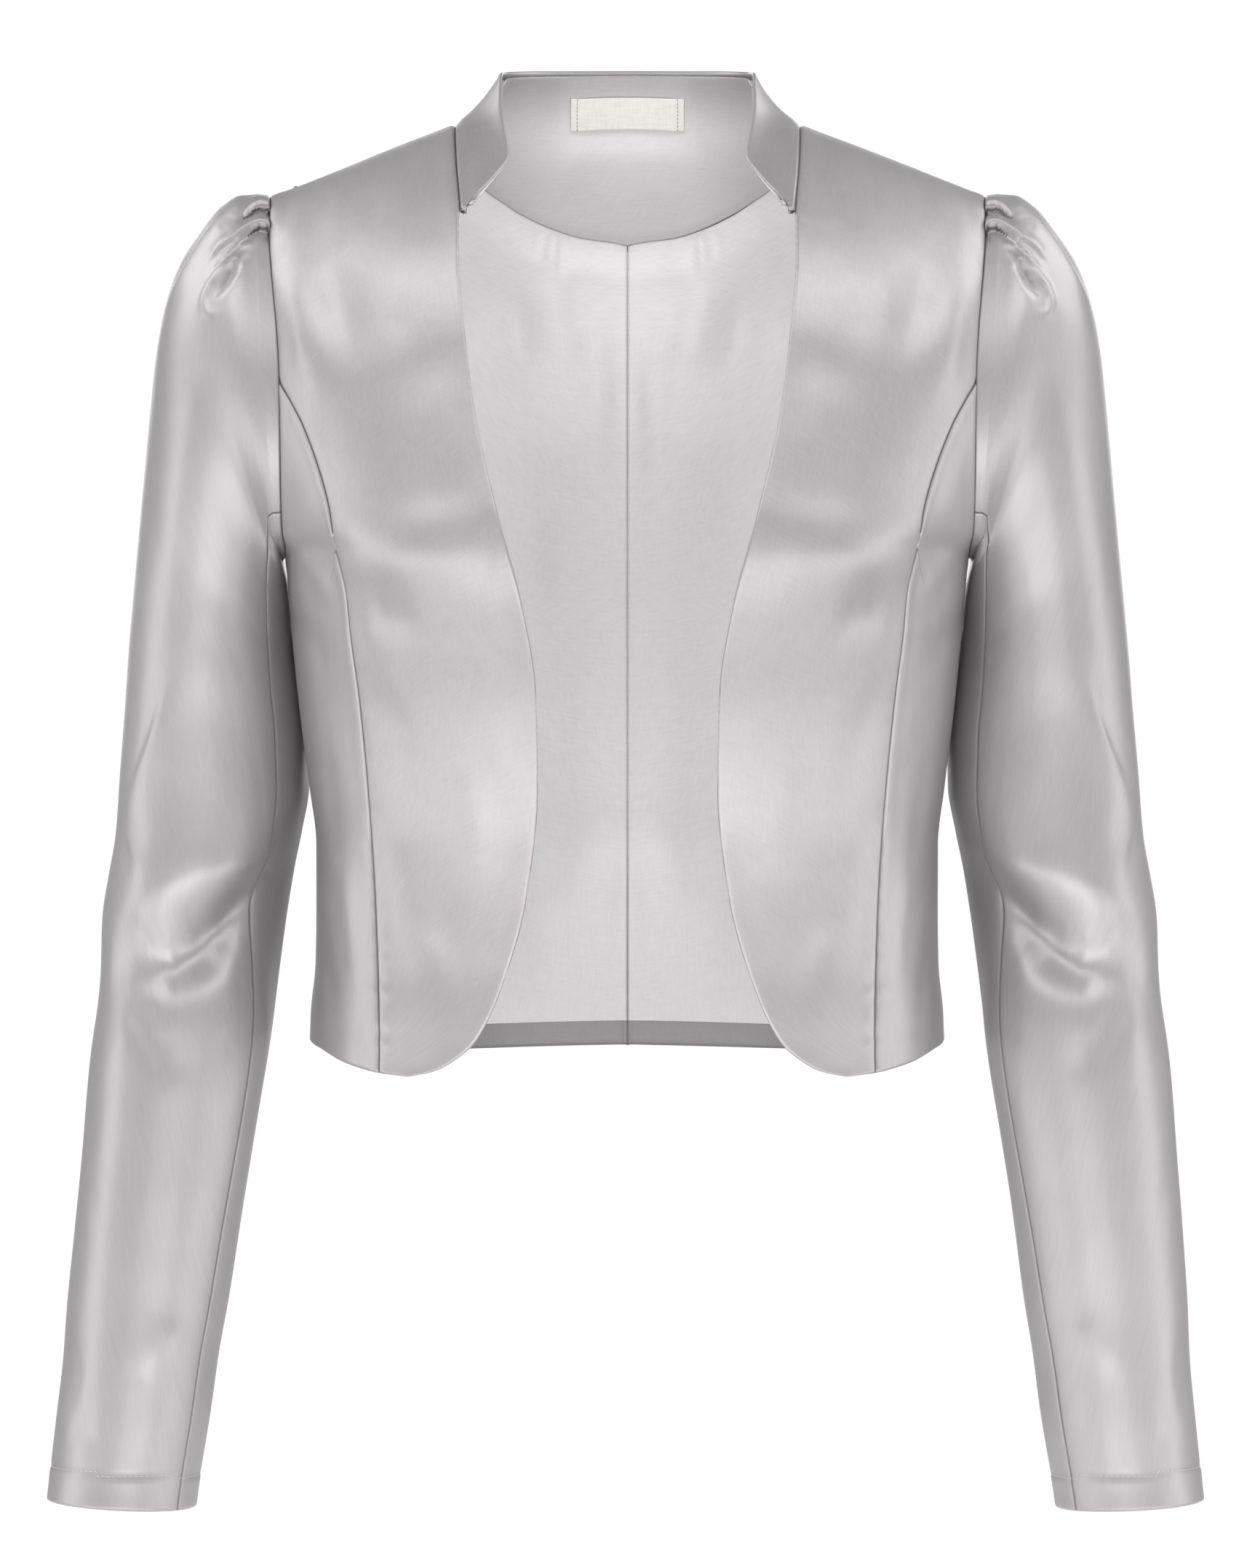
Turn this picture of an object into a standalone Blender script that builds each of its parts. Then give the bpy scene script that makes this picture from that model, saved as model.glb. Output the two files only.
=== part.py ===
"""Cropped bolero jacket in satin, open at the front, filled out as if worn.

The body is one smooth form, cut into panels along its seams. Every panel is a thin wall with its own
edges. The sleeves are tubes of rings that start at the armholes, with pleats at their heads.

Metres, +Z up, the front faces -Y and the wearer's left is +X. The origin lies midway between the two
points where the shoulder seams meet the neck seam.
"""

from collections import namedtuple
import math

import bmesh
import bpy
from mathutils import Vector

OBJECT_NAME = "bolero_jacket"

# Thickness of the cloth, and the space between pieces that are sewn together
SHELL_WALL = 0.0012
LINING_WALL = 0.0010
LABEL_WALL = 0.0010
SEAM_GAP = 0.0003
FACING_GAP = 0.0006
COLLAR_GAP = 0.0012
NECK_GAP = 0.0006
ARMHOLE_GAP = 0.0018
LINING_SIDE_GAP = 0.0015
MERGE_DISTANCE = 0.00002

# Shoulder line, as its height above the origin at the centre and its fall towards the arm
SHOULDER_PEAK = 0.0312
SHOULDER_FALL = 0.3767
SHOULDER_SOFTNESS = 0.012
SHOULDER_SAG = 0.0012
SHOULDER_DROP = 0.11
SHOULDER_POWER = 0.55

# Roundness of the level sections of the body, and the fullness over the bust
SECTION_POWER = 2.3
BUST_X = 0.088
BUST_Z = -0.212
BUST_REACH_X = 0.050
BUST_REACH_Z = 0.055
BUST_RISE = 0.010
FORM_START = 0.100
FORM_END = 0.150

# Where the shoulder seam starts and ends, the underarm, and the strip of satin under the lining's edge
NECK_X = 0.0826
TIP_X = 0.1718
PIT_Z = -0.205
LINING_HEM = 0.013

# Turns of the side seam and the centre back, and the highest point of the body's axis
SIDE = 90.0
CENTRE_BACK = 180.0
BODY_AXIS_TOP = -0.10

# Steps along the seams
NECK_BACK_STEPS = 7
COLLAR_FRONT_STEPS = 2
COLLAR_END_STEPS = 2
NECK_FRONT_STEPS = COLLAR_FRONT_STEPS + COLLAR_END_STEPS
COLLAR_ROWS = 3
FACING_ROWS = 3
YOKE_ROWS = 3
PRINCESS_STEPS = 12
SHOULDER_STEPS = 7
BISECTIONS = 40

# Half width of the label in columns of the collar, and its edges as shares of the collar's height
LABEL_HALF_COLUMNS = 2
LABEL_TOP = 0.66
LABEL_BOTTOM = 0.30


def rows(columns, *values):
    """A small table with named columns."""
    row = namedtuple("Row", columns)
    return [row(*value) for value in values]


# Level sections of the body, on the inside of the shell: the width at the sides, the width that shapes
# the front and the back away from the armholes, and the depths
BODY = rows(
    "height half_width form_width front back",
    (-0.460, 0.1510, 0.1510, 0.0960, 0.0980),
    (-0.428, 0.1508, 0.1508, 0.0935, 0.0930),
    (-0.400, 0.1483, 0.1483, 0.0915, 0.0880),
    (-0.372, 0.1479, 0.1479, 0.0910, 0.0840),
    (-0.344, 0.1479, 0.1479, 0.0920, 0.0820),
    (-0.316, 0.1511, 0.1511, 0.0955, 0.0840),
    (-0.280, 0.1558, 0.1562, 0.1020, 0.0890),
    (-0.250, 0.1590, 0.1607, 0.1085, 0.0940),
    (-0.222, 0.1615, 0.1662, 0.1130, 0.0980),
    (-0.205, 0.1630, 0.1698, 0.1140, 0.1000),
    (-0.196, 0.1690, 0.1717, 0.1140, 0.1005),
    (-0.180, 0.1745, 0.1750, 0.1125, 0.1010),
    (-0.150, 0.1805, 0.1805, 0.1085, 0.1000),
    (-0.120, 0.1835, 0.1835, 0.1030, 0.0970),
    (-0.070, 0.1880, 0.1880, 0.0920, 0.0880),
    (-0.020, 0.1900, 0.1900, 0.0820, 0.0760),
    (0.040, 0.1900, 0.1900, 0.0760, 0.0700),
)

# Sideways place of the armhole seam
ARMHOLE = rows(
    "height across",
    (-0.205, 0.1630),
    (-0.190, 0.1636),
    (-0.150, 0.1637),
    (-0.120, 0.1643),
    (-0.100, 0.1656),
    (-0.085, 0.1672),
    (-0.070, 0.1690),
    (-0.055, 0.1706),
    (-0.033, 0.1718),
)

# Neck seam seen from above, from the centre back to the end of the collar
NECK_SEAM = rows(
    "across deep",
    (0.0000, 0.0558),
    (0.0290, 0.0518),
    (0.0560, 0.0395),
    (0.0750, 0.0200),
    (0.0826, 0.0000),
    (0.0824, -0.0200),
    (0.0813, -0.0430),
    (0.0789, -0.0650),
)

# Lower edge of the neck facing seen from above, from the centre back to the shoulder seam
FACING_EDGE = rows(
    "across deep",
    (0.0000, 0.0784),
    (0.0219, 0.0756),
    (0.0358, 0.0717),
    (0.0516, 0.0640),
    (0.0600, 0.0565),
    (0.0716, 0.0459),
    (0.0850, 0.0245),
    (0.0930, 0.0000),
)

# Upper edge of the collar, from the centre back over its front corner to its end
COLLAR_TOP = rows(
    "across deep height",
    (0.0000, 0.0480, 0.0335),
    (0.0280, 0.0430, 0.0328),
    (0.0470, 0.0290, 0.0310),
    (0.0575, 0.0120, 0.0285),
    (0.0594, -0.0020, 0.0265),
)
COLLAR_FRONT = rows(
    "across deep height",
    (0.0594, -0.0020, 0.0265),
    (0.0598, -0.0130, 0.0130),
    (0.0555, -0.0380, -0.0185),
)
COLLAR_END = rows(
    "across deep height",
    (0.0555, -0.0380, -0.0185),
    (0.0670, -0.0535, -0.0335),
    (0.0768, -0.0632, -0.0440),
)

# Front edge from the end of the collar, round the corner to the hem
FRONT_EDGE = rows(
    "across height",
    (0.0789, -0.0464),
    (0.0788, -0.0683),
    (0.0776, -0.0863),
    (0.0757, -0.1042),
    (0.0703, -0.1443),
    (0.0592, -0.1919),
    (0.0487, -0.2320),
    (0.0425, -0.2722),
    (0.0417, -0.3174),
    (0.0472, -0.3690),
    (0.0591, -0.4111),
    (0.0713, -0.4359),
    (0.0801, -0.4440),
    (0.0901, -0.4496),
    (0.1024, -0.4524),
)

# Princess seam from the armhole to the hem
PRINCESS = rows(
    "across height",
    (0.1641, -0.1249),
    (0.1585, -0.1346),
    (0.1525, -0.1461),
    (0.1433, -0.1704),
    (0.1371, -0.1921),
    (0.1308, -0.2227),
    (0.1295, -0.2416),
    (0.1253, -0.2753),
    (0.1214, -0.3174),
    (0.1177, -0.3768),
    (0.1162, -0.4326),
    (0.1162, -0.4510),
)

# Height of the hem round the body, from the front to the centre back
HEM = rows(
    "turn height",
    (39.0, -0.4524),
    (47.0, -0.4510),
    (59.0, -0.4470),
    (75.0, -0.4405),
    (90.0, -0.4385),
    (110.0, -0.4410),
    (140.0, -0.4465),
    (180.0, -0.4445),
)

# Sleeve rings: the outer and the inner point of each, half its depth, where its middle lies from front to
# back, how far it leans and how round it is
SLEEVE = rows(
    "ring out_x out_z in_x in_z depth middle lean round",
    (1, 0.1782, -0.0313, 0.1662, -0.2065, 0.0560, 0.000, 0.00, 0.05),
    (2, 0.1859, -0.0315, 0.1672, -0.2090, 0.0575, 0.002, 0.02, 0.15),
    (3, 0.1957, -0.0371, 0.1663, -0.2130, 0.0585, 0.004, 0.05, 0.30),
    (4, 0.2055, -0.0490, 0.1651, -0.2180, 0.0590, 0.007, 0.08, 0.45),
    (5, 0.2146, -0.0627, 0.1642, -0.2235, 0.0585, 0.010, 0.11, 0.60),
    (6, 0.2212, -0.0791, 0.1634, -0.2290, 0.0580, 0.012, 0.13, 0.72),
    (7, 0.2265, -0.1036, 0.1626, -0.2345, 0.0570, 0.013, 0.15, 0.84),
    (8, 0.2300, -0.1337, 0.1619, -0.2405, 0.0560, 0.014, 0.16, 0.94),
    (9, 0.2335, -0.1687, 0.1606, -0.2475, 0.0545, 0.015, 0.16, 1.0),
    (10, 0.2366, -0.2030, 0.1592, -0.2570, 0.0535, 0.016, 0.16, 1.0),
    (11, 0.2398, -0.2422, 0.1571, -0.2720, 0.0525, 0.016, 0.16, 1.0),
    (12, 0.2426, -0.2825, 0.1552, -0.2950, 0.0515, 0.017, 0.14, 1.0),
    (13, 0.2450, -0.3140, 0.1555, -0.3160, 0.0510, 0.017, 0.12, 1.0),
    (14, 0.2468, -0.3402, 0.1590, -0.3370, 0.0505, 0.017, 0.10, 1.0),
    (15, 0.2499, -0.3577, 0.1624, -0.3545, 0.0500, 0.016, 0.08, 1.0),
    (16, 0.2534, -0.3805, 0.1655, -0.3760, 0.0490, 0.013, 0.06, 1.0),
    (17, 0.2552, -0.4102, 0.1690, -0.4060, 0.0475, 0.009, 0.04, 1.0),
    (18, 0.2580, -0.4417, 0.1722, -0.4370, 0.0460, 0.004, 0.02, 1.0),
    (19, 0.2611, -0.4837, 0.1782, -0.4790, 0.0440, -0.003, 0.0, 1.0),
    (20, 0.2650, -0.5275, 0.1845, -0.5230, 0.0420, -0.011, 0.0, 1.0),
    (21, 0.2678, -0.5642, 0.1897, -0.5600, 0.0400, -0.017, 0.0, 1.0),
    (22, 0.2688, -0.5887, 0.1942, -0.5860, 0.0385, -0.021, 0.0, 1.0),
    (23, 0.2713, -0.6167, 0.1981, -0.6150, 0.0372, -0.025, 0.0, 1.0),
    (24, 0.2737, -0.6430, 0.2026, -0.6425, 0.0362, -0.028, 0.0, 1.0),
    (25, 0.2744, -0.6556, 0.2052, -0.6590, 0.0358, -0.030, 0.0, 1.0),
)
RINGS = [0, 1, 2, 3, 4, 5, 6, 7, 8, 9, 10, 11, 12, 13, 14, 14.7, 15.3, 15.9, 16.5, 17.2, 18, 19, 20, 21.3,
         22.6, 24, 25]

# Turn round the sleeve in degrees: 0 is the outer side, the front is positive, 180 is the underarm
SLEEVE_SEAM = 141.0
FRONT_ARMHOLE = [0, 15, 30, 41, 56, 68, 80, 92.4]
SIDE_ARMHOLE = [92.4, 108, 124, 141, 160, 180]
BACK_ARMHOLE = [0, 15, 30, 47, 68, 84, 104, 127, 150, 180]
FRONT_COLUMNS = [0, 8, 15, 20, 25, 30, 36, 41, 47, 56, 68, 80, 92.4, 108, 124, 141]
UNDER_COLUMNS = [160, 180]
BACK_COLUMNS = [8, 15, 20, 25, 30, 36, 41, 47, 56, 68, 84, 104, 127, 150]

# Pleats of the sleeve head: the side, front or back, and the turn at which each opens at the seam
PLEATS = rows("front turn", (1, 23.0), (1, 37.0), (-1, 23.0), (-1, 37.0))
# How a pleat runs on from the seam: its drift in degrees and its share of the full height
PLEAT_RUN = rows(
    "ring drift share",
    (0, 0.0, 0.00),
    (1, 1.0, 0.80),
    (2, 3.5, 1.00),
    (3, 8.0, 0.85),
    (4, 14.0, 0.55),
    (5, 19.0, 0.25),
    (6, 23.0, 0.00),
)
PLEAT_HEIGHT = 0.0032
LIP_OFFSET = -4.0
LIP_REACH = 4.5
GROOVE_OFFSET = 2.0
GROOVE_REACH = 3.5

# Large folds at the elbow: the ends of each on the sleeve, its reach and its height
ELBOW_FOLDS = rows(
    "height_1 turn_1 height_2 turn_2 reach rise",
    (-0.352, 100.0, -0.372, 38.0, 0.012, 0.0030),
    (-0.374, 131.0, -0.400, 62.0, 0.010, -0.0040),
)
SLEEVE_RADIUS = 0.047

SATIN = ("satin", (0.62, 0.60, 0.61, 1.0), 0.32)
LINING = ("lining", (0.72, 0.71, 0.72, 1.0), 0.45)
LABEL = ("label", (0.86, 0.84, 0.79, 1.0), 0.80)


def read(table, column, place):
    """A column's value at a place between the rows, on a curve with no overshoot."""
    keys = [row[0] for row in table]
    values = [getattr(row, column) for row in table]
    return smooth_value(keys, values, place)


def smooth_value(keys, values, place):
    """The value at a place on a curve through the given values."""
    if place <= keys[0]:
        return values[0]
    if place >= keys[-1]:
        return values[-1]
    last = len(keys) - 1
    slopes = [(values[i + 1] - values[i]) / (keys[i + 1] - keys[i]) for i in range(last)]
    i = max(k for k in range(last) if keys[k] <= place)

    def tangent(k):
        if k in (0, last):
            return slopes[min(k, last - 1)]
        before, after = slopes[k - 1], slopes[k]
        if before * after <= 0.0:
            return 0.0
        return 2.0 * before * after / (before + after)

    step = keys[i + 1] - keys[i]
    f = (place - keys[i]) / step
    ends = (2 * f**3 - 3 * f**2 + 1) * values[i] + (3 * f**2 - 2 * f**3) * values[i + 1]
    bends = (f**3 - 2 * f**2 + f) * tangent(i) + (f**3 - f**2) * tangent(i + 1)
    return ends + step * bends


def smooth_path(points, steps):
    """Points at equal steps along a smooth path through the given points."""
    lengths = [0.0]
    for a, b in zip(points, points[1:]):
        lengths.append(lengths[-1] + math.dist(a, b))
    path = []
    for k in range(steps + 1):
        place = lengths[-1] * k / steps
        path.append(tuple(smooth_value(lengths, [p[c] for p in points], place) for c in range(len(points[0]))))
    return path


def shoulder_height(x):
    """Height of the shoulder line at a distance from the centre."""
    return SHOULDER_PEAK - SHOULDER_FALL * (math.hypot(x, SHOULDER_SOFTNESS) - SHOULDER_SAG)


def body_depth(x, z, front):
    """Depth of the body before its level section rounds it off."""
    drop = min(max(shoulder_height(x) - z, 0.0) / SHOULDER_DROP, 1.0)
    arch = (1.0 - (1.0 - drop) ** 2) ** SHOULDER_POWER
    if not front:
        return read(BODY, "back", z) * arch
    away = (max(abs(x) - BUST_X, 0.0) / BUST_REACH_X) ** 2 + ((z - BUST_Z) / BUST_REACH_Z) ** 2
    return (read(BODY, "front", z) + BUST_RISE * math.exp(-away)) * arch


def body_point(side, turn, z):
    """Point of the body at a turn from the centre front, 0, to the centre back, 180."""
    sine = math.sin(math.radians(turn))
    cosine = math.cos(math.radians(turn))
    if abs(cosine) < 1e-9:
        cosine = 0.0
    x = read(BODY, "half_width", z) * max(sine, 0.0) ** (2.0 / SECTION_POWER)
    y = body_depth(x, z, cosine > 0.0) * body_round(x, z)
    return Vector((side * x, -y if cosine > 0.0 else y, z))


def body_round(x, z):
    """Share of the depth that a level section keeps at a distance from the centre."""
    width = read(BODY, "half_width", z)
    f = min(max((x - FORM_START) / (FORM_END - FORM_START), 0.0), 1.0)
    f = f * f * (3.0 - 2.0 * f)
    at_side = max(1.0 - (x / width) ** SECTION_POWER, 0.0) ** (1.0 / SECTION_POWER)
    at_front = max(1.0 - (x / read(BODY, "form_width", z)) ** SECTION_POWER, 0.0) ** (1.0 / SECTION_POWER)
    return at_front + (at_side - at_front) * f


def turn_at(x, z, front):
    """Turn at which the body has this distance from the centre."""
    share = min(x / read(BODY, "half_width", z), 1.0)
    turn = math.degrees(math.asin(share ** (SECTION_POWER / 2.0)))
    return turn if front else 180.0 - turn


def place_above(x, y, front):
    """Turn and height of the body's point that lies at x and y seen from above."""
    low, high = 0.0, 0.2
    for _ in range(BISECTIONS):
        drop = (low + high) / 2.0
        z = shoulder_height(x) - drop
        if body_depth(x, z, front) * body_round(x, z) < abs(y):
            low = drop
        else:
            high = drop
    z = shoulder_height(x) - low
    return turn_at(x, z, front), z


def seam_above(table, steps, front):
    """Places of a seam whose table gives it from above."""
    return [place_above(x, y, front) for x, y in smooth_path([tuple(row) for row in table], steps)]


def seam_ahead(table, steps):
    """Places of a seam whose table gives it from the front."""
    path = smooth_path([tuple(row) for row in table], steps)
    return [(turn_at(x, z, True), z) for x, z in path]


def shoulder_seam(start, end, steps, front):
    """Places along the shoulder line."""
    places = []
    for k in range(steps + 1):
        x = start + (end - start) * k / steps
        z = shoulder_height(x)
        places.append((turn_at(x, z, front), z))
    return places


def armhole_place(angle, front):
    """Place on the armhole at an angle from the shoulder tip, 0, to the underarm, 180."""
    if angle >= 180.0:
        return SIDE, PIT_Z
    top = shoulder_height(TIP_X)
    z = top + (PIT_Z - top) * (1.0 - math.cos(math.radians(angle))) / 2.0
    x = min(read(ARMHOLE, "across", z), read(BODY, "half_width", z))
    if angle <= 0.0:
        x = TIP_X
    return turn_at(x, z, front), z


def side_seam(steps):
    """Places down the side, the last step as long as the strip under the lining."""
    hem = read(HEM, "height", SIDE)
    end = hem + LINING_HEM
    places = [(SIDE, PIT_Z + (end - PIT_Z) * k / (steps - 1)) for k in range(steps)]
    return places + [(SIDE, hem)]


def hem_line(start, end, steps):
    """Places along the hem."""
    turns = [start + (end - start) * k / steps for k in range(steps + 1)]
    return [(turn, read(HEM, "height", turn)) for turn in turns]


def patch(top, bottom, left, right):
    """Grid of places that fills the space between four edges."""
    down = len(left) - 1
    across = len(top) - 1
    grid = []
    for j in range(down + 1):
        v = j / down
        line = []
        for i in range(across + 1):
            u = i / across
            place = []
            for c in range(2):
                ruled = (1 - v) * top[i][c] + v * bottom[i][c] + (1 - u) * left[j][c] + u * right[j][c]
                upper = (1 - u) * top[0][c] + u * top[-1][c]
                lower = (1 - u) * bottom[0][c] + u * bottom[-1][c]
                place.append(ruled - (1 - v) * upper - v * lower)
            line.append(tuple(place))
        grid.append(line)
    return grid


def on_body(side, grid):
    """Points of the body at a grid of places."""
    return [[body_point(side, turn, z) for turn, z in line] for line in grid]


def trimmed(grid, top=0.0, bottom=0.0, left=0.0, right=0.0):
    """The grid with its edges moved in along the cloth."""
    down = len(grid) - 1
    across = len(grid[0]) - 1
    result = [[point.copy() for point in line] for line in grid]
    for j in range(down + 1):
        for i in range(across + 1):
            here = grid[j][i]
            for wanted, amount, other in (
                (j == 0, top, grid[min(j + 1, down)][i]),
                (j == down, bottom, grid[max(j - 1, 0)][i]),
                (i == 0, left, grid[j][min(i + 1, across)]),
                (i == across, right, grid[j][max(i - 1, 0)]),
            ):
                if wanted and amount:
                    result[j][i] += (other - here).normalized() * amount
    return result


def armhole_point(side, angle, front):
    """Point of the armhole seam on the body."""
    return body_point(side, *armhole_place(angle, front))


def sleeve_point(side, ring, angle):
    """Point of the sleeve on a ring, at an angle from its outer side, the front positive."""
    front = 0.0 <= angle <= 180.0
    turn = abs(angle)
    seam = armhole_point(side, turn, front)
    if ring <= 0.0:
        return seam + Vector((side * ARMHOLE_GAP, 0.0, 0.0))
    station = max(ring, SLEEVE[0].ring)
    outer = Vector((read(SLEEVE, "out_x", station), 0.0, read(SLEEVE, "out_z", station)))
    inner = Vector((read(SLEEVE, "in_x", station), 0.0, read(SLEEVE, "in_z", station)))
    across = (outer - inner).normalized()
    outer -= across * SHELL_WALL
    inner += across * SHELL_WALL
    widest = max(abs(armhole_point(side, a, front).y) for a in (80, 92, 104, 116))
    roundness = read(SLEEVE, "round", station)
    shape = (1 - roundness) * abs(seam.y) / widest + roundness * math.sin(math.radians(turn))
    reach = (read(SLEEVE, "depth", station) - SHELL_WALL) * shape * (-1.0 if front else 1.0)
    point = outer + (inner - outer) * (1.0 - math.cos(math.radians(turn))) / 2.0
    point -= across * read(SLEEVE, "lean", station) * reach
    point.y = read(SLEEVE, "middle", station) + reach
    middle = (outer + inner) / 2.0
    middle.y = read(SLEEVE, "middle", station)
    point += (point - middle).normalized() * (pleat_rise(ring, angle) + fold_rise(point.z, angle))
    return Vector((side * point.x, point.y, point.z))


def pleat_rise(ring, angle):
    """Height of the pleats: a lip on the upper side of each, a groove under it."""
    if ring >= PLEAT_RUN[-1].ring:
        return 0.0
    share = read(PLEAT_RUN, "share", ring)
    drift = read(PLEAT_RUN, "drift", ring)
    rise = 0.0
    for pleat in PLEATS:
        away = angle * pleat.front - pleat.turn - drift
        lip = math.exp(-(((away - LIP_OFFSET) / LIP_REACH) ** 2))
        groove = math.exp(-(((away - GROOVE_OFFSET) / GROOVE_REACH) ** 2))
        rise += PLEAT_HEIGHT * share * (lip - groove)
    return rise


def fold_rise(z, angle):
    """Height of the folds at the elbow, soft across and towards both ends."""
    rise = 0.0
    for fold in ELBOW_FOLDS:
        a = Vector((fold.height_1, math.radians(fold.turn_1) * SLEEVE_RADIUS))
        b = Vector((fold.height_2, math.radians(fold.turn_2) * SLEEVE_RADIUS))
        here = Vector((z, math.radians(angle) * SLEEVE_RADIUS))
        run = b - a
        share = (here - a).dot(run) / run.length_squared
        nearest = a + run * min(max(share, 0.0), 1.0)
        rise += fold.rise * math.exp(-(((here - nearest).length / fold.reach) ** 2))
    return rise


def collar_edges():
    """Lower and upper edge of the collar's left half, from the centre back to its end."""
    lower = [body_point(1, *place) for place in neck_places()]
    upper = smooth_path([tuple(row) for row in COLLAR_TOP], NECK_BACK_STEPS)
    upper += smooth_path([tuple(row) for row in COLLAR_FRONT], COLLAR_FRONT_STEPS)[1:]
    upper += smooth_path([tuple(row) for row in COLLAR_END], COLLAR_END_STEPS)[1:]
    return lower, [Vector(point) for point in upper]


def neck_places():
    """Places of the neck seam from the centre back to the end of the collar."""
    return neck_back_places() + neck_front_places()[1:]


def neck_back_places():
    """Places of the neck seam behind the shoulder seam."""
    return seam_above([row for row in NECK_SEAM if row.deep >= 0.0], NECK_BACK_STEPS, False)


def neck_front_places():
    """Places of the neck seam before the shoulder seam."""
    return seam_above([row for row in NECK_SEAM if row.deep <= 0.0], NECK_FRONT_STEPS, True)


def collar_grid(side, bottom=0.0, top=1.0, steps=COLLAR_ROWS):
    """Rows of the collar, from the top down, between two shares of its height."""
    lower, upper = collar_edges()
    foot = [a + (b - a).normalized() * COLLAR_GAP for a, b in zip(lower, upper)]
    grid = []
    for j in range(steps + 1):
        f = top + (bottom - top) * j / steps
        line = [a.lerp(b, f) for a, b in zip(foot, upper)]
        grid.append([Vector((side * p.x, p.y, p.z)) for p in line])
    return grid


def neck_line(side):
    """The neck seam itself, from the centre back to the end of the collar."""
    return [Vector((side * p.x, p.y, p.z)) for p in collar_edges()[0]]


def both_sides(right_side, left_side):
    """One grid from two halves that share the centre back."""
    return [list(reversed(r)) + l[1:] for r, l in zip(right_side, left_side)]


def back_places():
    """Back panel: the facing's strip, the part under the lining, and the strip at the hem."""
    neck = list(reversed(neck_back_places()))
    edge = list(reversed(seam_above(FACING_EDGE, NECK_BACK_STEPS, False)))
    facing_x = FACING_EDGE[-1].across
    first = patch(
        neck,
        edge,
        shoulder_seam(NECK_X, facing_x, FACING_ROWS, False),
        centre_back(neck[-1][1], edge[-1][1], FACING_ROWS),
    )
    sides = side_seam(PRINCESS_STEPS)
    outer = shoulder_seam(facing_x, TIP_X, YOKE_ROWS, False)
    outer += [armhole_place(angle, False) for angle in BACK_ARMHOLE[1:]]
    outer += sides[1:-1]
    across = NECK_BACK_STEPS
    hem = hem_line(SIDE, CENTRE_BACK, across)
    lining_end = [(turn, z + LINING_HEM) for turn, z in hem]
    second = patch(
        edge,
        lining_end,
        outer,
        centre_back(edge[-1][1], lining_end[-1][1], len(outer) - 1),
    )
    return first, second, [lining_end, hem]


def centre_back(start, end, steps):
    """Places down the centre back."""
    return [(CENTRE_BACK, start + (end - start) * k / steps) for k in range(steps + 1)]


def front_places():
    """Front panel: neck seam and front edge on one side, armhole and princess seam on the other."""
    inner = neck_front_places()
    outer = [armhole_place(angle, True) for angle in FRONT_ARMHOLE]
    outer += seam_ahead(PRINCESS, PRINCESS_STEPS)[1:]
    inner += seam_ahead(FRONT_EDGE, len(outer) - len(inner))[1:]
    top = shoulder_seam(NECK_X, TIP_X, SHOULDER_STEPS, True)
    bottom = []
    for k in range(SHOULDER_STEPS + 1):
        f = k / SHOULDER_STEPS
        turn = inner[-1][0] + (outer[-1][0] - inner[-1][0]) * f
        bottom.append((turn, inner[-1][1] + (outer[-1][1] - inner[-1][1]) * f))
    return patch(top, bottom, inner, outer)


def side_places():
    """Side front panel, from the princess seam to the side seam."""
    princess = seam_ahead(PRINCESS, PRINCESS_STEPS)
    top = [armhole_place(angle, True) for angle in SIDE_ARMHOLE]
    bottom = hem_line(princess[-1][0], SIDE, len(top) - 1)
    return patch(top, bottom, princess, side_seam(PRINCESS_STEPS))


def sleeve_grid(side):
    """Rings of the sleeve, each open at the seam."""
    angles = [-(360.0 - SLEEVE_SEAM)] + [-(360.0 - a) for a in UNDER_COLUMNS]
    angles += [-a for a in reversed(BACK_COLUMNS)] + FRONT_COLUMNS
    turned = [a if a >= -180.0 else a + 360.0 for a in angles]
    return [[sleeve_point(side, ring, angle) for angle in turned] for ring in RINGS]


def material(slot):
    """Principled material of a slot."""
    name, colour, roughness = slot
    if name in bpy.data.materials:
        return bpy.data.materials[name]
    made = bpy.data.materials.new(name)
    made.use_nodes = True
    shader = made.node_tree.nodes["Principled BSDF"]
    shader.inputs["Base Color"].default_value = colour
    shader.inputs["Roughness"].default_value = roughness
    shader.inputs["Metallic"].default_value = 0.0
    made.diffuse_color = colour
    return made


def wall(name, grids, thickness, slot, middle, inset=0.0):
    """Wall of cloth on the outer side of the grids, which share the points where they meet."""
    cloth = bmesh.new()
    for grid in grids:
        points = [[cloth.verts.new(point) for point in line] for line in grid]
        for upper, lower in zip(points, points[1:]):
            for i in range(len(upper) - 1):
                cloth.faces.new((upper[i], lower[i], lower[i + 1]))
                cloth.faces.new((upper[i], lower[i + 1], upper[i + 1]))
    bmesh.ops.remove_doubles(cloth, verts=cloth.verts, dist=MERGE_DISTANCE)
    cloth.normal_update()
    facing_out = sum(f.normal.dot(f.calc_center_median() - middle(f.calc_center_median())) for f in cloth.faces)
    if facing_out < 0.0:
        bmesh.ops.reverse_faces(cloth, faces=cloth.faces)
        cloth.normal_update()
    for vertex in cloth.verts:
        vertex.co -= vertex.normal * inset
    mesh = bpy.data.meshes.new(name)
    cloth.to_mesh(mesh)
    cloth.free()
    mesh.shade_smooth()
    piece = bpy.data.objects.new(name, mesh)
    piece.data.materials.append(material(slot))
    solid = piece.modifiers.new("cloth", "SOLIDIFY")
    solid.thickness = thickness
    solid.offset = 1.0
    bpy.data.collections[OBJECT_NAME].objects.link(piece)
    return piece


def body_middle(point):
    """Point on the body's axis, from which its cloth faces out."""
    return Vector((0.0, 0.0, min(point.z, BODY_AXIS_TOP)))


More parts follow.
